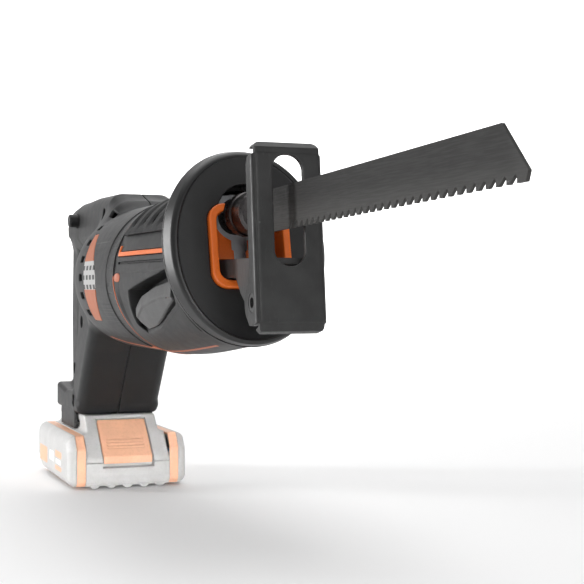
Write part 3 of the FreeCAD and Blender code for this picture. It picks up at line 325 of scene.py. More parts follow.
# -------- finishes
class Finish:
    """A Principled material with the nodes that vary it over the surface."""

    def __init__(self, name, colour, roughness, metallic=0.0, specular=0.5):
        self.material = bpy.data.materials.new(name)
        self.material.use_nodes = True
        self.nodes = self.material.node_tree.nodes
        self.links = self.material.node_tree.links
        self.shader = self.nodes["Principled BSDF"]
        self.colour = colour
        self.shader.inputs["Base Color"].default_value = (*colour, 1.0)
        self.shader.inputs["Roughness"].default_value = roughness
        self.shader.inputs["Metallic"].default_value = metallic
        self.shader.inputs["Specular IOR Level"].default_value = specular
        self.place = self.nodes.new("ShaderNodeTexCoord").outputs["Object"]
        self.height = None

    def stretched(self, scale):
        """Coordinates squeezed along the axes."""
        mapping = self.nodes.new("ShaderNodeMapping")
        mapping.inputs["Scale"].default_value = scale
        self.links.new(self.place, mapping.inputs["Vector"])
        return mapping.outputs["Vector"]

    def noise(self, size, detail=3.0, squeeze=None):
        """Noise with features of a size in millimetres."""
        texture = self.nodes.new("ShaderNodeTexNoise")
        texture.inputs["Scale"].default_value = 1.0 / (size * MM)
        texture.inputs["Detail"].default_value = detail
        place = self.stretched(squeeze) if squeeze else self.place
        self.links.new(place, texture.inputs["Vector"])
        return texture.outputs["Fac"]

    def cells(self, size):
        """Small round bumps of a size in millimetres."""
        texture = self.nodes.new("ShaderNodeTexVoronoi")
        texture.inputs["Scale"].default_value = 1.0 / (size * MM)
        self.links.new(self.place, texture.inputs["Vector"])
        return texture.outputs["Distance"]

    def waves(self, size, direction):
        """Straight ridges a size apart, in millimetres."""
        texture = self.nodes.new("ShaderNodeTexWave")
        texture.bands_direction = direction
        texture.inputs["Scale"].default_value = 0.314 / (size * MM)
        self.links.new(self.place, texture.inputs["Vector"])
        return texture.outputs["Fac"]

    def remap(self, value, low, high, to_low, to_high):
        """A value's stretch from low to high, laid onto another one."""
        node = self.nodes.new("ShaderNodeMapRange")
        node.interpolation_type = "SMOOTHSTEP"
        settings = {"From Min": low, "From Max": high, "To Min": to_low, "To Max": to_high}
        for socket, number in settings.items():
            node.inputs[socket].default_value = number
        self.links.new(value, node.inputs["Value"])
        return node.outputs["Result"]

    def times(self, first, second):
        node = self.nodes.new("ShaderNodeMath")
        node.operation = "MULTIPLY"
        self.links.new(first, node.inputs[0])
        self.links.new(second, node.inputs[1])
        return node.outputs["Value"]

    def along(self, axis, centre=0.0):
        """Distance from a plane square to a world axis, in millimetres."""
        split = self.nodes.new("ShaderNodeSeparateXYZ")
        self.links.new(self.place, split.inputs["Vector"])
        node = self.nodes.new("ShaderNodeMath")
        node.operation = "MULTIPLY_ADD"
        node.inputs[1].default_value = 1.0 / MM
        node.inputs[2].default_value = -centre
        self.links.new(split.outputs[axis], node.inputs[0])
        return node.outputs["Value"]

    def edges(self):
        """1 on outer edges, where handling polishes them."""
        geometry = self.nodes.new("ShaderNodeNewGeometry")
        return self.remap(geometry.outputs["Pointiness"], 0.52, 0.62, 0.0, 1.0)

    def tint(self, share, colour):
        """Another colour over the one so far, by a share."""
        mix = self.nodes.new("ShaderNodeMix")
        mix.data_type = "RGBA"
        socket = self.shader.inputs["Base Color"]
        if socket.links:
            self.links.new(socket.links[0].from_socket, mix.inputs["A"])
        else:
            mix.inputs["A"].default_value = (*self.colour, 1.0)
        mix.inputs["B"].default_value = (*colour, 1.0)
        self.links.new(share, mix.inputs["Factor"])
        self.links.new(mix.outputs["Result"], socket)
        return self

    def rough(self, value):
        self.links.new(value, self.shader.inputs["Roughness"])
        return self

    def relief(self, value, depth):
        """Bumps of a depth in millimetres, over any so far."""
        bump = self.nodes.new("ShaderNodeBump")
        bump.inputs["Strength"].default_value = 1.0
        bump.inputs["Distance"].default_value = depth * MM
        self.links.new(value, bump.inputs["Height"])
        if self.height:
            self.links.new(self.height, bump.inputs["Normal"])
        self.height = bump.outputs["Normal"]
        self.links.new(self.height, self.shader.inputs["Normal"])
        return self


def shade(colour, factor):
    return tuple(channel * factor for channel in colour)


def moulded(name, colour, roughness, grain=0.012, worn=1.4, specular=0.5):
    """Grained moulded plastic with faint blotches and polished edges."""
    finish = Finish(name, colour, roughness, specular=specular)
    finish.tint(finish.remap(finish.noise(14.0), 0.35, 0.7, 0.0, 1.0), shade(colour, 1.08))
    finish.tint(finish.remap(finish.noise(1.6), 0.45, 0.75, 0.0, 0.5), shade(colour, 0.9))
    finish.tint(finish.edges(), shade(colour, worn))
    finish.rough(finish.remap(finish.noise(6.0, 4.0), 0.3, 0.7, roughness - 0.02, roughness + 0.03))
    finish.relief(finish.noise(0.5, 2.0), grain)
    return finish


def soft_touch(name, colour):
    """Rubbery overmould with fine dots."""
    finish = Finish(name, colour, 0.72, specular=0.35)
    finish.tint(finish.remap(finish.noise(9.0), 0.3, 0.7, 0.0, 1.0), shade(colour, 1.35))
    finish.tint(finish.edges(), shade(colour, 1.6))
    finish.rough(finish.remap(finish.noise(5.0), 0.3, 0.7, 0.66, 0.8))
    finish.relief(finish.cells(0.9), 0.08)
    finish.relief(finish.noise(0.3), 0.02)
    return finish


def metal(name, colour, roughness, squeeze=(1.0, 1.0, 0.06), scratch=0.006, metallic=1.0, specular=0.5):
    """Worked metal with fine lines along one axis and brighter edges."""
    finish = Finish(name, colour, roughness, metallic=metallic, specular=specular)
    lines = finish.noise(0.5, 4.0, squeeze)
    finish.tint(finish.remap(finish.noise(11.0), 0.3, 0.7, 0.0, 1.0), shade(colour, 0.78))
    finish.tint(finish.remap(lines, 0.55, 0.8, 0.0, 0.6), shade(colour, 1.5))
    finish.tint(finish.edges(), shade(colour, 1.9))
    finish.rough(finish.remap(lines, 0.3, 0.7, roughness - 0.08, roughness + 0.1))
    finish.relief(lines, scratch)
    return finish


CHARCOAL = (0.015, 0.015, 0.0155)
ORANGE = (0.82, 0.16, 0.018)
DULL_ORANGE = (0.45, 0.10, 0.03)
PALE = (0.53, 0.525, 0.52)
PALE_ORANGE = (0.84, 0.47, 0.30)


def blade_finish():
    """Dark sheet steel, with a painted sheen that makes it paler along its toothed edge."""
    dark = (0.022, 0.0215, 0.021)
    finish = metal("dark_blade_steel", dark, 0.5, (0.04, 1, 1), metallic=0.0, specular=0.12)
    rise = finish.along("Z", float(span("blade")[0][2]))
    # Painted sheen: the colour is lightened near the teeth and stands in for reflected light there.
    return finish.tint(finish.remap(rise, 3.0, 16.0, 1.0, 0.0), (0.06, 0.059, 0.057))


def seam_finish():
    """Dull orange, but charcoal up the ring's sides."""
    finish = moulded("seam_line", DULL_ORANGE, 0.42, worn=1.1)
    height = finish.along("Z")
    above_bead = finish.remap(height, 136.0, 138.0, 0.0, 1.0)
    below_top = finish.remap(height, 160.0, 172.0, 1.0, 0.0)
    return finish.tint(finish.times(above_bead, below_top), CHARCOAL)


def make_finishes():
    """One finish for each material slot of the record."""
    made = {
        "casing": moulded("charcoal_casing", CHARCOAL, 0.48, specular=0.30),
        "orange_trim": moulded("orange_trim", ORANGE, 0.36, worn=1.1),
        "soft_grip": soft_touch("soft_grip", (0.009, 0.009, 0.0095)),
        "lever_plastic": moulded("lever_plastic", (0.035, 0.035, 0.035), 0.4, grain=0.015),
        "screw_steel": metal("black_screw_steel", (0.16, 0.16, 0.17), 0.35, (1, 1, 1)),
        "cast_alloy": metal("cast_alloy", (0.26, 0.265, 0.275), 0.5, (1, 1, 1), 0.05),
        "bronze": metal("bronze", (0.62, 0.36, 0.14), 0.35, (0.1, 1, 1)),
        "rubber": soft_touch("black_rubber", (0.012, 0.012, 0.012)),
        "steel": metal("ground_steel", (0.5, 0.5, 0.52), 0.28, (1, 0.1, 0.1)),
        "ferrite": metal("ferrite", (0.07, 0.07, 0.075), 0.6, (1, 1, 1), 0.03, metallic=0.2),
        "shoe_steel": metal("satin_shoe_steel", (0.040, 0.040, 0.040), 0.42, metallic=0.2, specular=0.35),
        "clamp_steel": metal("black_clamp_steel", (0.09, 0.085, 0.085), 0.34, (0.2, 1, 1)),
        "blade_steel": blade_finish(),
        "fan_plastic": moulded("natural_plastic", (0.33, 0.33, 0.34), 0.5),
        "board": moulded("circuit_board", (0.02, 0.16, 0.06), 0.3),
        "pack_grey": moulded("pale_pack", PALE, 0.5, grain=0.02, worn=1.12),
        "pack_orange": moulded("pale_pack_orange", PALE_ORANGE, 0.5, grain=0.02, worn=1.05),
        "cell_wrap": moulded("cell_wrap", (0.07, 0.22, 0.45), 0.25, grain=0.004),
    }
    board = made["board"]
    board.tint(board.remap(board.cells(3.0), 0.1, 0.3, 1.0, 0.0), (0.02, 0.02, 0.022))
    return made


def label_print():
    """The barrel's label: orange, with a pale field of plain dark blocks half way up."""
    finish = moulded("label_print", (0.40, 0.105, 0.035), 0.5, grain=0.006, worn=1.05)
    up = finish.along("Z", 138.5)
    field = finish.times(finish.remap(up, -8.6, -8.2, 0.0, 1.0), finish.remap(up, 8.2, 8.6, 1.0, 0.0))
    finish.tint(field, (0.45, 0.445, 0.44))
    rows = finish.remap(finish.waves(5.6, "Z"), 0.45, 0.6, 0.0, 1.0)
    columns = finish.remap(finish.waves(9.0, "X"), 0.25, 0.4, 0.0, 1.0)
    finish.tint(finish.times(field, finish.times(rows, columns)), (0.02, 0.02, 0.02))
    return finish


FINISHES = make_finishes()
FINISHES["label_print"] = label_print()
FINISHES["flange_satin"] = moulded("satin_flange", (0.018, 0.018, 0.0185), 0.36, specular=0.45)
FINISHES["label_white"] = moulded("label_white", (0.80, 0.80, 0.79), 0.4, grain=0.006, worn=1.05)
FINISHES["seam_line"] = seam_finish()
FINISHES["dull_orange"] = moulded("dull_orange", DULL_ORANGE, 0.42, worn=1.1)
# Nodes whose finish isn't their slot's own.
SPECIAL = {"label_bands": "label_print", "nose_flange": "flange_satin", "seam_ring": "seam_line",
           "lever_pin": "screw_steel"}
BODIES = frame["record"]["behaviour"]["bodies"]
BODY_OF = {node: body for body, members in BODIES.items() for node in members}
SLOTS = {entry["node"]: entry["material_slot"] for entry in frame["record"]["subparts"]}


def finish_of(node):
    return FINISHES[SPECIAL.get(node, SLOTS[node])].material


def finish_nodes():
    """Every CAD node takes its finish and keeps its slot."""
    for name, thing in frame["nodes"].items():
        thing.data.materials.clear()
        thing.data.materials.append(finish_of(name))


def dress(made, node):
    """A new piece stands for a CAD node, on its body and with its finish."""
    return finish_piece(made, BODY_OF[node], finish_of(node), (node,))


def dress_both(right, left_name, node):
    """A right piece and its mirror image stand for one CAD node that has both sides."""
    left = mirrored(right, left_name)
    dress(right, node)
    dress(left, node)


def stand_in(name, field, node, cell, triangles):
    """A piece meshed within a CAD node's own box, which stands for that node."""
    dress(mould(name, field, *span(node), cell, triangles), node)


# -------- rear housing
seam_low, seam_high = span("seam_ring")
SEAM_X = seam_low[0]
BARREL_R = seam_high[1] - 0.4
MOTOR_Z = float(sum(part[2] for part in span("motor_can")) / 2)
WALL = 2.5
GRIP_HALF, BRIDGE_HALF, COLUMN_HALF, FOOT_HALF = 17, 21, 28, 27.3
DOME_START, DOME_LENGTH, DOME_POWER = 114.0, 70.0, 2.6
LABEL_FRONT, LABEL_BACK, LABEL_RISE, LABEL_END = 153.2, 120.8, 24.5, 37.0
VENT_STEP = 15.0
HEAD_R, BOSS_R, SCREW_HOLE_R = 4.0, 5.2, 2.1
LOCK_X, LOCK_Z = -5, 178
REAR_LOW, REAR_HIGH = span("housing_right")

# Side outlines, as X and Z.
GRIP = [(-50.5, 50), (-54, 110), (-50.5, 176), (-40, 188), (0, 188), (0, 160), (-16, 156), (-19, 110),
        (-17, 50)]
BRIDGE = [(-46, 178), (-30, 187.5), (-8, 190.3), (40, 191.5), (92, 190.5), (112, 183), (112, 150),
          (60, 150), (38, 159), (-20, 159), (-44, 165)]
COLUMN = [(27, 48), (59, 90), (76, 108), (80, 140), (60, 150), (39, 150), (27, 114), (18, 90), (9, 64),
          (6, 48)]
FOOT = [(-50.5, 46.8), (26, 46.8), (28, 52), (14, 62), (-20, 60), (-50.5, 64)]
# X, Z and the skin's distance from the middle plane there.
SCREWS = [(41, 109, 28), (16, 55, 27.3), (-38, 74, 17), (-40, 166, 17), (78, 178, 21)]


def polar(p):
    """Radius about the motor axis, and elevation in degrees above either side."""
    up = p[:, 2] - MOTOR_Z
    return hypot(p[:, 1], up), np.degrees(np.arctan2(up, np.abs(p[:, 1])))


def barrel(p):
    """The round barrel with its domed rear."""
    radius = polar(p)[0]
    behind = np.maximum(DOME_START - p[:, 0], 0.0)
    full = ((behind / DOME_LENGTH) ** DOME_POWER + (radius / BARREL_R) ** DOME_POWER) ** (1 / DOME_POWER)
    dome = (full - 1.0) * hypot(behind, radius) / np.maximum(full, 1e-6)
    return meet(dome, p[:, 0] - (SEAM_X - 0.2), 0.8)


def handle(p):
    """The whole outer skin of the rear housing, both halves."""
    grip = prism(p, GRIP, -GRIP_HALF, GRIP_HALF, 6.0, 10.5)
    bridge = prism(p, BRIDGE, -BRIDGE_HALF, BRIDGE_HALF, 6.0, 9.0)
    column = prism(p, COLUMN, -COLUMN_HALF, COLUMN_HALF, 3.0, 7.0)
    foot = prism(p, FOOT, -FOOT_HALF, FOOT_HALF, 1.5, 3.0)
    top = join(join(grip, bridge, 7.0), barrel(p), 9.0)
    return join(join(top, column, 7.0), foot, 4.0)


def label_outline(p, grown=0.0):
    """The barrel label's crescent, wide half way up and bent back at its ends."""
    elevation = polar(p)[1]
    up = np.clip((p[:, 2] - MOTOR_Z) / LABEL_RISE, -1.2, 1.2)
    front = p[:, 0] - LABEL_FRONT + 27.0 * np.maximum(up, 0.0) ** 1.2 + 18.5 * np.maximum(-up, 0.0) ** 1.8
    back = LABEL_BACK - 4.4 * up ** 2 - p[:, 0]
    ends = (np.abs(elevation) - LABEL_END) * 0.75
    return np.maximum(np.maximum(front, back) * 0.8, ends) - grown


def label_band(p):
    """The label itself, which ends short of the saw's top and bottom."""
    radius = polar(p)[0]
    return meet(meet(label_outline(p), slab(radius, 42.35, 43.12), 0.15), p[:, 1] + 20.0)


def rear_half(p):
    """The right clam shell."""
    skin = handle(p)
    radius, elevation = polar(p)
    shell = cut(skin, skin + WALL)
    shell = cut(shell, meet(radius - BARREL_R + WALL, 150.0 - p[:, 0]))
    skirt = brick(p, (-33, -FOOT_HALF, 35.6), (14, -24.9, 48.8), 0.5)
    lip = brick(p, (-33, -25.4, 38.4), (14, -22.9, 40.6), 0.3)
    shell = join(join(shell, skirt, 0.6), lip)
    bed = meet(label_outline(p, 0.35), 42.2 - radius)
    shell = cut(shell, bed, 0.3)
    nearest = np.clip(np.round(elevation / VENT_STEP) * VENT_STEP, -30.0, 60.0)
    gap = np.abs(elevation - nearest) * math.radians(1) * BARREL_R
    vent = meet(meet(gap - 2.1, slab(p[:, 0], 106, 115), 1.2), 36.0 - radius)
    shell = cut(shell, vent, 0.4)
    waist = meet(slab(p[:, 0], 180, 192), 42.3 - radius)
    shell = cut(shell, waist, 0.5)
    for x, z, depth in SCREWS:
        boss = rod(p, (x, -depth + 1.5, z), 1, depth - 1.6, BOSS_R)
        shell = join(shell, boss, 0.8)
        shell = cut(shell, rod(p, (x, -depth - 3.0, z), 1, 8.0, HEAD_R), 0.5)
        shell = cut(shell, rod(p, (x, -depth - 1.0, z), 1, depth + 2.0, SCREW_HOLE_R))
    shell = cut(shell, rod(p, (LOCK_X, -40, LOCK_Z), 1, 80, 4.7), 0.4)
    shell = cut(shell, brick(p, (-24, -8.4, 117), (-10, 8.4, 153.4), 1.0), 0.4)
    shell = cut(shell, brick(p, (-49, -12, 45), (-33, 12, 51)))
    return meet(shell, p[:, 1] + 0.12, 0.35)


def make_rear():
    right = mould("housing_shell_right", rear_half, REAR_LOW, REAR_HIGH, 0.8, 110000)
    left = mirrored(right, "housing_shell_left")
    dress(right, "housing_right")
    dress(left, "housing_left")
    low, high = span("label_bands")
    right = mould("label_band_right", label_band, low, (high[0], -25.0, high[2]), 0.35, 16000)
    dress_both(right, "label_band_left", "label_bands")


# -------- nose
FACE = np.array([304.0, 0.0, 150.0])
LEAN = math.radians(13.0)
FACE_OUT = np.array([math.cos(LEAN), 0.0, math.sin(LEAN)])
FACE_UP = np.array([-math.sin(LEAN), 0.0, math.cos(LEAN)])
PLUNGER_Z = float(sum(part[2] for part in span("clamp_sleeve")) / 2)
RIM_DEPTH = 8.0
# X, half width, half height and middle of the nose at four places.
SECTIONS = np.array([(200.5, 43.0, 43.0, 137.5), (240, 41.6, 42.4, 138.9), (283, 38.6, 40.5, 141.5),
                     (312, 37.4, 39.8, 143.8)])
SECTION_FITS = [np.polyfit((SECTIONS[:, 0] - 250) / 50, SECTIONS[:, column], 3) for column in (1, 2, 3)]
OVAL_POWER = 2.05
FACET_TILTS = (22.0, 7.0)
FLANK_TOP = 139.4
STRIPE_REAR, STRIPE_FRONT, STRIPE_LOW, STRIPE_HIGH = 206.3, 283.7, 147.8, 150.0
PAD_REAR, PAD_FRONT = 206.0, 278.0
GROOVE_LOW, GROOVE_HIGH = 143.6, 144.7
SLIT_DEPTH, SLIT_HEIGHT = (-17.0, -14.8), (-37.0, -26.0)
SIDE_DEPTH = 7.8
OPEN_HALF, OPEN_LOW, OPEN_HIGH = 20.25, -20.0, 21.5
LEVER_PIN = (280, -35.0, 127.5)
# Side outlines, as X and Z.
RECESS = [(217, 111.5), (219.6, 121), (224.5, 129.6), (235, 131.6), (258, 135.4), (292, 140.4),
          (292.3, 130), (289, 123.2), (263, 115.1), (234.5, 105.6), (226, 106)]
LEVER = [(222, 113.5), (224.5, 120.5), (240.5, 126.8), (264, 131.8), (286.8, 134.6), (287.6, 125),
         (263, 116.6), (236, 108.2), (228, 108.6)]
LEVER_CREASE = [(215, 107), (221, 114.8), (240, 121.3), (264, 125.4), (281, 126.6), (292, 126.4)]
RECESS_FLOOR = -29.5
SOFT_Z = 159.0


def face_depth(p):
    """Distance in front of the leaning nose face."""
    return (p - FACE) @ FACE_OUT


def egg(y, z, half_width, half_height):
    """A slightly full oval round a point."""
    across, up = np.abs(y) / half_width, np.abs(z) / half_height
    full = (across ** OVAL_POWER + up ** OVAL_POWER) ** (1 / OVAL_POWER)
    return (full - 1.0) * hypot(y, z) / np.maximum(full, 1e-6)


def section(p):
    """The nose's half width, half height and middle at each point's X."""
    x = (np.clip(p[:, 0], 195.0, 312.0) - 250.0) / 50.0
    return [np.polyval(fit, x) for fit in SECTION_FITS]


def nose(p):
    """The plain skin of the front barrel."""
    half_width, half_height, middle = section(p)
    return egg(p[:, 1], p[:, 2] - middle, half_width, half_height)


def facets(p):
    """The nose with a flat band along its side and a set-back flank under it."""
    skin = nose(p)
    half_width, half_height, middle = section(p)
    across, up = np.abs(p[:, 1]) / half_width, (p[:, 2] - middle) / half_height
    for elevation in FACET_TILTS:
        tilt = math.radians(elevation)
        plane = (across * math.cos(tilt) + up * math.sin(tilt) - 0.988) * 41.0
        skin = np.maximum(skin, np.where(np.abs(p[:, 2] - 149.0) < 14.0, plane, -9.0))
    reach = ramp(p[:, 0], 203.0, 207.0)
    below = FLANK_TOP - p[:, 2]
    set_back = (0.7 * ramp(below, 0.0, 0.9) + 0.03 * np.clip(below, 0.0, 16.0)) * (1 - ramp(below, 16, 36))
    return skin + set_back * reach


def face_frame(p):
    """Coordinates across, up and out of the leaning nose face."""
    away = p - FACE
    return p[:, 1], away @ FACE_UP, away @ FACE_OUT


def collar(p):
    """The ring on the nose that carries the flange."""
    across, up, out = face_frame(p)
    share = np.clip((-out - SIDE_DEPTH) / 5.8, 0.0, 1.4)
    ring = egg(across, up - 2.2 - 0.53 * share, 41.1 - 0.7 * share, 48.8 - 0.9 * share)
    return meet(ring, -out - 13.4, 2.5)


def cover(p, side):
    """One front half shell; the right one has the lever's recess."""
    depth = face_depth(p)
    skin = join(facets(p), collar(p), 3.0)
    skin = meet(skin, depth + RIM_DEPTH + 0.2, 0.4)
    skin = meet(skin, SEAM_X + 1.1 - p[:, 0], 0.6)
    shell = cut(skin, nose(p) + WALL + 0.9)
    up = face_frame(p)[1]
    slit = meet(meet(slab(depth, *SLIT_DEPTH), slab(up, *SLIT_HEIGHT)), -(facets(p) + 1.8))
    shell = cut(shell, slit, 0.4)
    groove_span = meet(slab(p[:, 0], 207, 285), -(facets(p) + 1.0))
    groove = meet(slab(p[:, 2], GROOVE_LOW, GROOVE_HIGH), groove_span)
    shell = cut(shell, groove, 0.2)
    low, rear = STRIPE_LOW - 0.3, STRIPE_REAR - 0.3
    bed = np.minimum(meet(slab(p[:, 2], low, STRIPE_HIGH + 0.3), slab(p[:, 0], rear, STRIPE_FRONT + 0.3)),
                     meet(slab(p[:, 2], low, 153.8), slab(p[:, 0], rear, rear + 2.0)))
    shell = cut(shell, meet(bed, -(nose(p) + 1.4)), 0.15)
    pad_bed = meet(slab(p[:, 0], PAD_REAR - 0.3, PAD_FRONT + 0.3), SOFT_Z - 0.3 - p[:, 2])
    shell = cut(shell, meet(pad_bed, -(nose(p) + 0.5)), 0.2)
    if side < 0:
        recess = soft_outline(p[:, 0], p[:, 2], RECESS, 2.0)
        wall = meet(recess - 2.0, slab(p[:, 1], -40, RECESS_FLOOR + 2.0))
        shell = join(shell, meet(wall, facets(p) + 0.1), 0.5)
        well = meet(recess, p[:, 1] - RECESS_FLOOR)
        shell = cut(shell, well, 0.5)
    return meet(shell, p[:, 1] * -side + 0.12, 0.35)


def make_nose():
    """Both covers, with room round the CAD part's box so that no surface leaves the grid."""
    low, high = span("gear_cover_right")
    low, high = low - (0, 1, 4), high + (2, 1, 12)
    right = mould("front_cover_right", lambda p: cover(p, -1), low, high, 0.6, 90000)
    dress(right, "gear_cover_right")
    left = mould("front_cover_left", lambda p: cover(p, 1), *mirror_box(low, high), 0.6, 70000)
    dress(left, "gear_cover_left")


def mirror_box(low, high):
    return np.array((low[0], -high[1], low[2])), np.array((high[0], -low[1], high[2]))


def soft_pad(p):
    """The ribbed soft pad over the top right of the nose."""
    skin = nose(p)
    beat = (p[:, 0] - 215.0 + 0.22 * (p[:, 2] - SOFT_Z)) / 17.5
    rib = 0.5 + 0.5 * np.cos(2 * math.pi * beat)
    swell = 1.0 - 1.3 * ramp(rib, 0.35, 0.95) * ramp(p[:, 2], SOFT_Z + 1.5, SOFT_Z + 7.0)
    layer = meet(skin - swell, -(skin + 0.4), 0.3)
    room = meet(slab(p[:, 0], PAD_REAR, PAD_FRONT), SOFT_Z - p[:, 2], 1.5)
    return meet(meet(layer, room, 0.5), p[:, 1] + 0.2, 0.2)


def make_soft_pads():
    low, high = span("top_overmoulds")
    right = mould("soft_pad_right", soft_pad, low - 1, (high[0] + 1, 1.0, high[2] + 1), 0.5, 50000)
    dress_both(right, "soft_pad_left", "top_overmoulds")


def stripe(p):
    """The orange inlay, turned up for a little way at its rear end."""
    skin = nose(p)
    bar = meet(slab(p[:, 2], STRIPE_LOW, STRIPE_HIGH), slab(p[:, 0], STRIPE_REAR, STRIPE_FRONT), 0.6)
    turned = meet(slab(p[:, 2], STRIPE_LOW, 153.5), slab(p[:, 0], STRIPE_REAR, STRIPE_REAR + 1.4), 0.6)
    bar = np.minimum(bar, turned)
    return meet(meet(bar, skin - 0.1), -(skin + 1.3), 0.2)


def make_stripes():
    low, high = span("side_stripes")
    right = mould("side_stripe_right", stripe, low - 1, (high[0] + 1, 0.0, high[2] + 5), 0.3, 16000)
    dress_both(right, "side_stripe_left", "side_stripes")


def opening(across, up, half_width, low, high, corner):
    """A round-cornered rectangle on the nose face."""
    away_across = np.abs(across) - half_width + corner
    away_up = slab(up, low, high) + corner
    outside = hypot(np.maximum(away_across, 0.0), np.maximum(away_up, 0.0))
    return outside + np.minimum(np.maximum(away_across, away_up), 0.0) - corner


def flange(p):
    """The leaning oval flange: a raised rim, a sunk face and sides that widen backwards."""
    across, up, out = face_frame(p)
    share = np.clip(-out / SIDE_DEPTH, 0.0, 1.1)
    rim = egg(across, up - 0.4 - 1.8 * share, 38.4 + 2.8 * share, 47.6 + 1.35 * share)
    plate = meet(meet(rim, out, 2.2), -out - RIM_DEPTH, 0.6)
    sunk = egg(across, up - 0.4, 35.9, 45.4)
    plate = cut(plate, meet(sunk, -out - 0.7, 0.3), 0.35)
    plate = cut(plate, opening(across, up, 20.4, -20.2, 21.7, 8.2), 0.5)
    return cut(plate, rod(p, (250, 0, PLUNGER_Z), 0, 80, 14.9), 0.4)


def bezel(p):
    """The orange frame round the opening."""
    across, up, out = face_frame(p)
    outer = opening(across, up, OPEN_HALF, OPEN_LOW, OPEN_HIGH, 8.0)
    inner = opening(across, up, OPEN_HALF - 3.75, OPEN_LOW + 3.75, OPEN_HIGH - 3.75, 5.0)
    frame_ring = cut(meet(outer, slab(out, -17.6, 1.8), 0.9), inner, 0.7)
    half = 4.2 - 1.0 * ramp(-up, -2.9, -2.6)
    liner = meet(meet(slab(out, -17.5, -15.4), slab(up, -1.9, 18.5)), half - np.abs(across), 0.3)
    frame_ring = join(frame_ring, meet(liner, np.abs(across) - 17.5), 0.3)
    return cut(frame_ring, rod(p, (250, 0, PLUNGER_Z), 0, 80, 12.6), 0.4)


def lever(p):
    """The release lever: a long tab with a broad bevel along its top and a sunk flank below."""
    skin = nose(p) + 0.45
    tab = soft_outline(p[:, 0], p[:, 2], LEVER, 1.8)
    above = p[:, 2] - np.interp(p[:, 0], *zip(*LEVER_CREASE))
    bevel = skin + 0.36 * above
    flank = skin + 0.5 * ramp(-above, 0.0, 1.2)
    tab = meet(meet(tab, meet(bevel, flank, 0.3), 0.7), p[:, 1] - (RECESS_FLOOR - 0.5), 0.4)
    return cut(tab, rod(p, LEVER_PIN, 1, 9.0, 1.56))


# -------- shoe
SHOE_ORIGIN = np.array([353.7, 0.0, 124.0])
SHOE_LEAN = math.radians(6.0)
SHOE_FRONT, SHOE_THICK, SHOE_HALF = 7.25, 2.5, 16.75
EAR_R = 9.4
# Side outlines about the pivot, before the shoe leans.
EAR = [(9, -9.4), (9, 66), (0.4, 65), (-1.6, 62), (-1.6, 16), (-3.2, 11.5), (-3.2, -9.4)]
LIPS = [(4.75, -9.2), (4.75, 67.3), (3.5, 68.8), (-1, 68.8), (-1, 71.3), (4.65, 71.3), (7.25, 68.5),
        (7.25, -8.2), (5.65, -13.2), (0.5, -14.2), (0.5, -11.8), (3.85, -11)]


def shoe(p):
    """The pressed shoe: a channel with two ears, a slot and a lip at each end."""
    away = p - SHOE_ORIGIN
    x = away[:, 0] * math.cos(SHOE_LEAN) + away[:, 2] * math.sin(SHOE_LEAN)
    z = away[:, 2] * math.cos(SHOE_LEAN) - away[:, 0] * math.sin(SHOE_LEAN)
    y = np.abs(p[:, 1])
    envelope = meet(x - SHOE_FRONT, y - SHOE_HALF, 3.0)
    inner = meet(x - SHOE_FRONT + SHOE_THICK, y - SHOE_HALF + SHOE_THICK, 0.6)
    channel = cut(envelope, inner)
    side = join(outline(x, z, EAR), hypot(x, z) - EAR_R, 3.0)
    sheet = meet(channel, side, 0.35)
    lips = meet(outline(x, z, inset(LIPS, 0.5)) - 0.5, y - 15.3, 0.35)
    corner = opening(y, z, 15.3, -14.4, 71.4, 3.5)
    sheet = join(sheet, meet(lips, corner), 0.4)
    slot = opening(y, z, 7.3, 15.4, 65.4, 7.2)
    sheet = cut(sheet, meet(slot, -x), 0.35)
    return cut(sheet, hypot(x, z) - 4.06, 0.3)


# -------- controls
def trigger(p):
    """The finger trigger with shallow finger grooves."""
    face = [(-29, 120), (-29, 151), (-9, 151), (-4, 147), (-6, 136), (-4.5, 124), (-8, 120)]
    lug = prism(p, face, -7.8, 7.8, 1.5, 2.4)
    waves = 0.25 * (1 + np.cos((p[:, 2] - 135.5) * 2 * math.pi / 3.0)) * ramp(p[:, 0], -10.0, -7.0)
    return lug + waves * ramp(7.0 - np.abs(p[:, 1]), 0.0, 2.0)


def lock_off(p):
    """The lock-off bar with a shallow dish in each end."""
    low, high = span("lock_off_button")
    bar = rod(p, (LOCK_X, low[1], LOCK_Z), 1, high[1] - low[1], 4.5, 1.4)
    from_middle = hypot(p[:, 0] - LOCK_X, p[:, 2] - LOCK_Z)
    dish = 0.35 * ramp(np.abs(p[:, 1] + 2.8), 22.5, 24.0) * ramp(3.0 - from_middle, 0, 1)
    return bar + dish


# -------- battery
PACK_LOW, PACK_HIGH = span("battery_bands")
PACK_HALF = span("battery_cap_left")[1][1]
BAND_IN, BAND_OUT = 28.0, 34.0
SPLIT_Z = 17.0
BLOCK_HALF = 24.3
PACK_WALL, PACK_EDGE = 2.0, 7.0
DIAGONAL = math.sqrt(0.5)
PACK_SIDE = [(-57, 10), (-57, 31), (-53, 35), (50, 35), (57, 26), (57, 4.4), (54, 1.4), (-42, 1.4)]
BLOCK_SIDE = [(-52, 30), (-52, 46), (31, 46), (33.6, 43.6), (57, 20.2), (57, 10), (40, 10)]
LATCH_BED = [(34, 45), (58.5, 21), (58.5, 13.6), (52.8, 13.6), (52.8, 16.8), (31, 38.6), (29, 40.6)]
LATCH = [(34, 43.4), (56.4, 21), (56.4, 16.2), (55.6, 16.2), (55.4, 18.4), (50, 23.6), (33.4, 40.2)]


def pack_skin(p):
    """The battery's rounded envelope."""
    return prism(p, PACK_SIDE, -PACK_HALF, PACK_HALF, 3.0, PACK_EDGE)


def pack_shell(p):
    return cut(pack_skin(p), prism(p, inset(PACK_SIDE, PACK_WALL), -37.8, 37.8, 2.0, 4.0))


def cap(p):
    return meet(pack_shell(p), BAND_OUT + 0.05 + p[:, 1], 0.5)


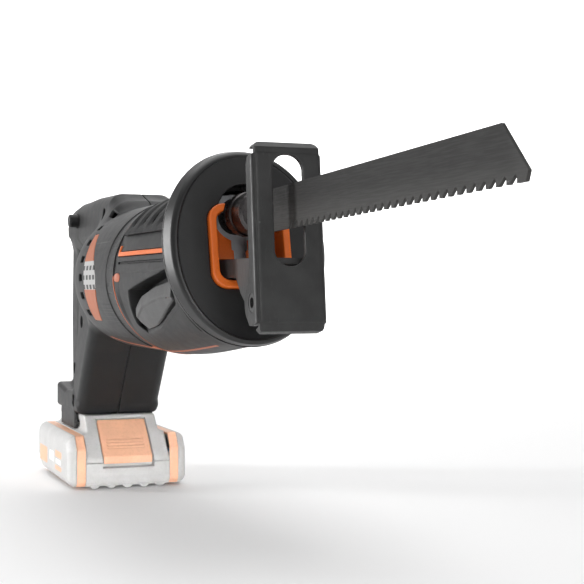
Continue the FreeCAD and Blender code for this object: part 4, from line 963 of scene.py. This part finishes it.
def band(p):
    return meet(pack_shell(p) + 0.25, slab(-p[:, 1], BAND_IN + 0.1, BAND_OUT - 0.1), 0.3)


def pack_middle(p):
    """The middle of the battery with its slide block, rails, slots and latch bed."""
    body = meet(pack_skin(p), np.abs(p[:, 1]) - BAND_IN, 0.4)
    block = prism(p, BLOCK_SIDE, -BLOCK_HALF, BLOCK_HALF, 1.5, 1.5)
    slope = (p[:, 0] + p[:, 2]) * DIAGONAL
    solid = meet(join(body, block, 2.5), slope - 77.2 * DIAGONAL, 1.6)
    room = meet(prism(p, inset(PACK_SIDE, PACK_WALL), -40, 40, 2.0), slope - 63.0 * DIAGONAL)
    solid = cut(solid, room)
    solid = cut(solid, tilted_rod(p, (38.05, 0, 27.05), 6.0, 3.6))
    solid = cut(solid, brick(p, (-20, -19, 20), (22, 19, 44)))
    y = np.abs(p[:, 1])
    rail = meet(meet(slab(p[:, 2], 37.2, 41.8), 22.4 - y), p[:, 0] - 17.0)
    solid = cut(solid, rail, 0.4)
    slot_y = y - np.clip(np.round(y / 10.0), 0, 1) * 10.0
    slots = meet(meet(np.abs(slot_y) - 1.6, p[:, 0] + 31.0), 32.0 - p[:, 2])
    solid = cut(solid, slots, 0.3)
    solid = cut(solid, prism(p, LATCH_BED, -17, 17, 0.8), 0.5)
    nearest = p[:, 1] - np.clip(np.round(p[:, 1] / 11.0), -2, 2) * 11.0
    rib = meet((np.abs(nearest) - 1.2) * 0.6 - p[:, 2] * 0.8, slab(p[:, 2], 0.0, 3.2), 0.2)
    rib = meet(rib, slab(p[:, 0], -36.0, 55.8), 1.0)
    return join(solid, rib, 0.4)


def pack_upper(p):
    return meet(pack_middle(p), SPLIT_Z + 0.1 - p[:, 2], 0.3)


def pack_lower(p):
    return meet(pack_middle(p), p[:, 2] - SPLIT_Z + 0.1, 0.3)


def tilted_rod(p, start, length, radius):
    """A cylinder that runs up and forwards at 45 degrees."""
    away = p - np.array(start)
    along = (away[:, 0] + away[:, 2]) * DIAGONAL
    side = (away[:, 0] - away[:, 2]) * DIAGONAL
    return meet(hypot(side, away[:, 1]) - radius, slab(along, 0.0, length))


def latch(p):
    """The release button on the battery's front slope, with fine ridges."""
    plate = prism(p, LATCH, -16.4, 16.4, 0.4, 0.9)
    run = (p[:, 0] - p[:, 2]) * DIAGONAL
    ridges = 0.35 * (0.5 + 0.5 * np.cos(run * 2 * math.pi / 2.6))
    field_of_grip = ramp(run, 8.0, 9.0) * ramp(-run, -19.0, -18.0)
    return plate + ridges * field_of_grip * ramp(13.0 - np.abs(p[:, 1]), 0.0, 1.0)


def make_battery():
    low, high = span("battery_cap_right")
    right = mould("pack_cap_right", cap, low, high, 0.6, 30000)
    left = mirrored(right, "pack_cap_left")
    dress(right, "battery_cap_right")
    dress(left, "battery_cap_left")
    band_right = mould("pack_band_right", band, (PACK_LOW[0], -BAND_OUT, PACK_LOW[2]),
                       (PACK_HIGH[0], -BAND_IN, PACK_HIGH[2]), 0.5, 20000)
    dress_both(band_right, "pack_band_left", "battery_bands")
    stand_in("pack_upper", pack_upper, "battery_upper_case", 0.6, 60000)
    stand_in("pack_lower", pack_lower, "battery_lower_case", 0.6, 50000)
    stand_in("pack_latch", latch, "battery_latch_button", 0.4, 20000)


PATCHES = (("orange_patch", "pack_orange", [(-46, -18, 9, 20), (12, 34, 17.5, 22), (12, 34, 9, 12)]),
           ("white_patch", "label_white", [(-9, 8, 13, 20), (14, 32, 13, 16.5)]))


def rounded_tile(p, left, right, low, high, radius):
    """A round-cornered rectangle in the side view."""
    across = slab(p[:, 0], left, right) + radius
    up = slab(p[:, 2], low, high) + radius
    return hypot(np.maximum(across, 0), np.maximum(up, 0)) + np.minimum(np.maximum(across, up), 0) - radius


def make_patches():
    """Plain coloured patches on the battery's ends, where a label would be."""
    for name, finish, tiles in PATCHES:
        for number, tile in enumerate(tiles):
            def field(p, tile=tile):
                sheet = slab(p[:, 1], -PACK_HALF - 0.15, -PACK_HALF + 0.5)
                return meet(rounded_tile(p, *tile, 1.3), sheet, 0.1)
            low = np.array((tile[0], -PACK_HALF - 0.2, tile[2]))
            high = np.array((tile[1], -PACK_HALF + 0.5, tile[3]))
            right = mould(f"{name}_{number}_right", field, low, high, 0.3, 3000)
            left = mirrored(right, f"{name}_{number}_left")
            for patch in (right, left):
                finish_piece(patch, BODY_OF["battery_cap_right"], FINISHES[finish].material)


# -------- inlays
KEEL_X = [100, 113, 133, 172, 207, 285]
KEEL_ANGLE = [-56, -59, -66, -69, -72, -74]


def keel(p, skin, low, high):
    """A thin inlay that runs along the saw's underside."""
    away = polar(p)[1] - np.interp(p[:, 0], KEEL_X, KEEL_ANGLE)
    line = meet(np.abs(away) * math.radians(1) * BARREL_R - 1.2, slab(p[:, 0], low, high), 0.5)
    return meet(meet(line, skin - 0.12), -(skin + 0.8), 0.1)


def bead(p):
    """The small raised bead at the seam."""
    oval = hypot((p[:, 0] - 206.0) / 2.0, p[:, 2] - 136.4) - 2.4
    return meet(oval * 0.8, slab(facets(p), -1.2, 0.33), 0.3)


def make_inlays():
    """Orange inlays along the keel and at the seam, on both sides."""
    inlays = (("keel_line_rear", lambda p: keel(p, barrel(p), 108, 198.5), (107, -30, 92), (199, -6, 112)),
              ("keel_line_front", lambda p: keel(p, facets(p), 202, 284), (201, -24, 92), (285, -4, 112)),
              ("seam_bead", bead, (200, -45, 133), (212, -40, 140)))
    for name, field, low, high in inlays:
        right = mould(name + "_right", field, low, high, 0.4, 8000)
        for inlay in (right, mirrored(right, name + "_left")):
            finish_piece(inlay, BODY_OF["housing_right"], FINISHES["dull_orange"].material)


def coil(name, start, axis, radius, wire, length, turns):
    """A coil spring, swept as one tube."""
    along = Vector(axis).normalized()
    side = Vector((0.0, 1.0, 0.0))
    across = along.cross(side)
    points, faces = [], []
    steps, ring = int(turns * 28), 10
    for step in range(steps + 1):
        angle = 2 * math.pi * turns * step / steps
        outward = side * math.cos(angle) + across * math.sin(angle)
        centre = Vector(start) + outward * radius + along * (length * step / steps)
        for corner in range(ring):
            turn = 2 * math.pi * corner / ring
            aside, ahead = outward * (wire * math.cos(turn)), along * (wire * math.sin(turn))
            points.append(tuple(centre + aside + ahead))
    for step in range(steps):
        here = step * ring
        for corner in range(ring):
            after = (corner + 1) % ring
            faces.append((here + corner, here + ring + corner, here + ring + after, here + after))
    faces.append(tuple(range(ring)))
    faces.append(tuple(steps * ring + corner for corner in reversed(range(ring))))
    return new_mesh(name, np.array(points), faces)


def make_springs():
    """The two springs that their buttons press together."""
    trigger_start, forwards = (-38.6, 0, 136.0), (1, 0, 0)
    trigger_coil = coil("trigger_coil", trigger_start, forwards, 3.4, 0.45, 8.8, 6.0)
    dress(trigger_coil, "trigger_spring")
    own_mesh(trigger_coil)
    latch_start, slope = (38.4, 0, 27.4), (DIAGONAL, 0.0, DIAGONAL)
    latch_coil = coil("latch_coil", latch_start, slope, 3.0, 0.4, 4.4, 3.0)
    dress(latch_coil, "latch_spring")
    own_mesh(latch_coil)


# -------- studio
def make_stage():
    """A pale floor that sweeps up behind the saw."""
    half, rise, bend = 6.0, 5.0, 1.5
    bend_x, front_x, steps = -2.5, 4.0, 12
    points = [(bend_x - bend, rise)]
    for step in range(steps + 1):
        angle = math.pi + math.pi / 2 * step / steps
        points.append((bend_x + bend * math.cos(angle), bend + bend * math.sin(angle)))
    points.append((front_x, 0.0))
    rows = [[(x, y, z) for x, z in points] for y in (-half, half)]
    vertices = np.array(rows[0] + rows[1]) / MM
    count = len(points)
    faces = [(i, i + count, i + count + 1, i + 1) for i in range(count - 1)]
    floor = new_mesh("pale_sweep", vertices, faces)
    paper = Finish("pale_paper", (0.93, 0.93, 0.93), 0.85, specular=0.2)
    paper.rough(paper.remap(paper.noise(40.0), 0.3, 0.7, 0.8, 0.9))
    floor.data.materials.append(paper.material)


def area_light(name, place, target, size, power, spread=180.0):
    """A lamp of a width and length that looks at a target."""
    light = bpy.data.lights.new(name, "AREA")
    light.shape = "RECTANGLE"
    light.size, light.size_y = size
    light.energy = power
    light.spread = math.radians(spread)
    made = bpy.data.objects.new(name, light)
    made.location = place
    made.rotation_euler = (Vector(target) - Vector(place)).to_track_quat("-Z", "Y").to_euler()
    bpy.context.scene.collection.objects.link(made)


def make_studio():
    """Soft light from the saw's right and above, little from in front, on a pale ground."""
    world = bpy.data.worlds.new("studio")
    world.use_nodes = True
    sky = world.node_tree.nodes["Background"].inputs
    sky["Color"].default_value = (1.0, 1.0, 1.0, 1.0)
    sky["Strength"].default_value = 0.22
    bpy.context.scene.world = world
    bpy.context.scene.view_settings.view_transform = "Standard"
    middle = (0.2, 0.0, 0.12)
    area_light("side_strip", (-0.75, -1.55, 0.40), middle, (0.30, 0.9), 22.0)
    area_light("top_soft", (-0.2, 0.1, 2.0), middle, (2.2, 2.2), 32.0)
    area_light("front_fill", (2.4, -0.2, 0.7), middle, (1.4, 0.8), 14.0)
    area_light("battery_fill", (1.5, -0.45, 0.06), (0.03, 0.0, 0.02), (0.15, 0.05), 0.065, 10.0)
    area_light("wall_wash", (-2.4, 1.9, 2.2), (-4.0, 1.9, 0.3), (3.0, 1.0), 120.0)


def make_camera():
    """The photo's view, level; the focal length and the width are in its pixels."""
    focal_length, photo_width = 1300.0, 584.0
    camera = bpy.data.cameras.new("camera")
    camera.sensor_width = 36.0
    camera.lens = camera.sensor_width * focal_length / photo_width
    camera.clip_start = 0.01
    made = bpy.data.objects.new("camera", camera)
    made.location = (0.894, -0.202, 0.1287)
    made.rotation_euler = Vector((-0.9353, 0.3540, 0.0)).to_track_quat("-Z", "Y").to_euler()
    bpy.context.scene.collection.objects.link(made)
    bpy.context.scene.camera = made


make_camera()
finish_nodes()
make_rear()
make_nose()
make_soft_pads()
make_stripes()
stand_in("oval_flange", flange, "nose_flange", 0.55, 60000)
stand_in("orange_bezel", bezel, "nose_bezel", 0.4, 50000)
stand_in("thumb_lever", lever, "release_lever", 0.4, 30000)
stand_in("pressed_shoe", shoe, "shoe", 0.42, 90000)
stand_in("finger_trigger", trigger, "trigger", 0.4, 20000)
stand_in("lock_bar", lock_off, "lock_off_button", 0.4, 20000)
make_battery()
make_patches()
make_inlays()
make_springs()
make_stage()
make_studio()
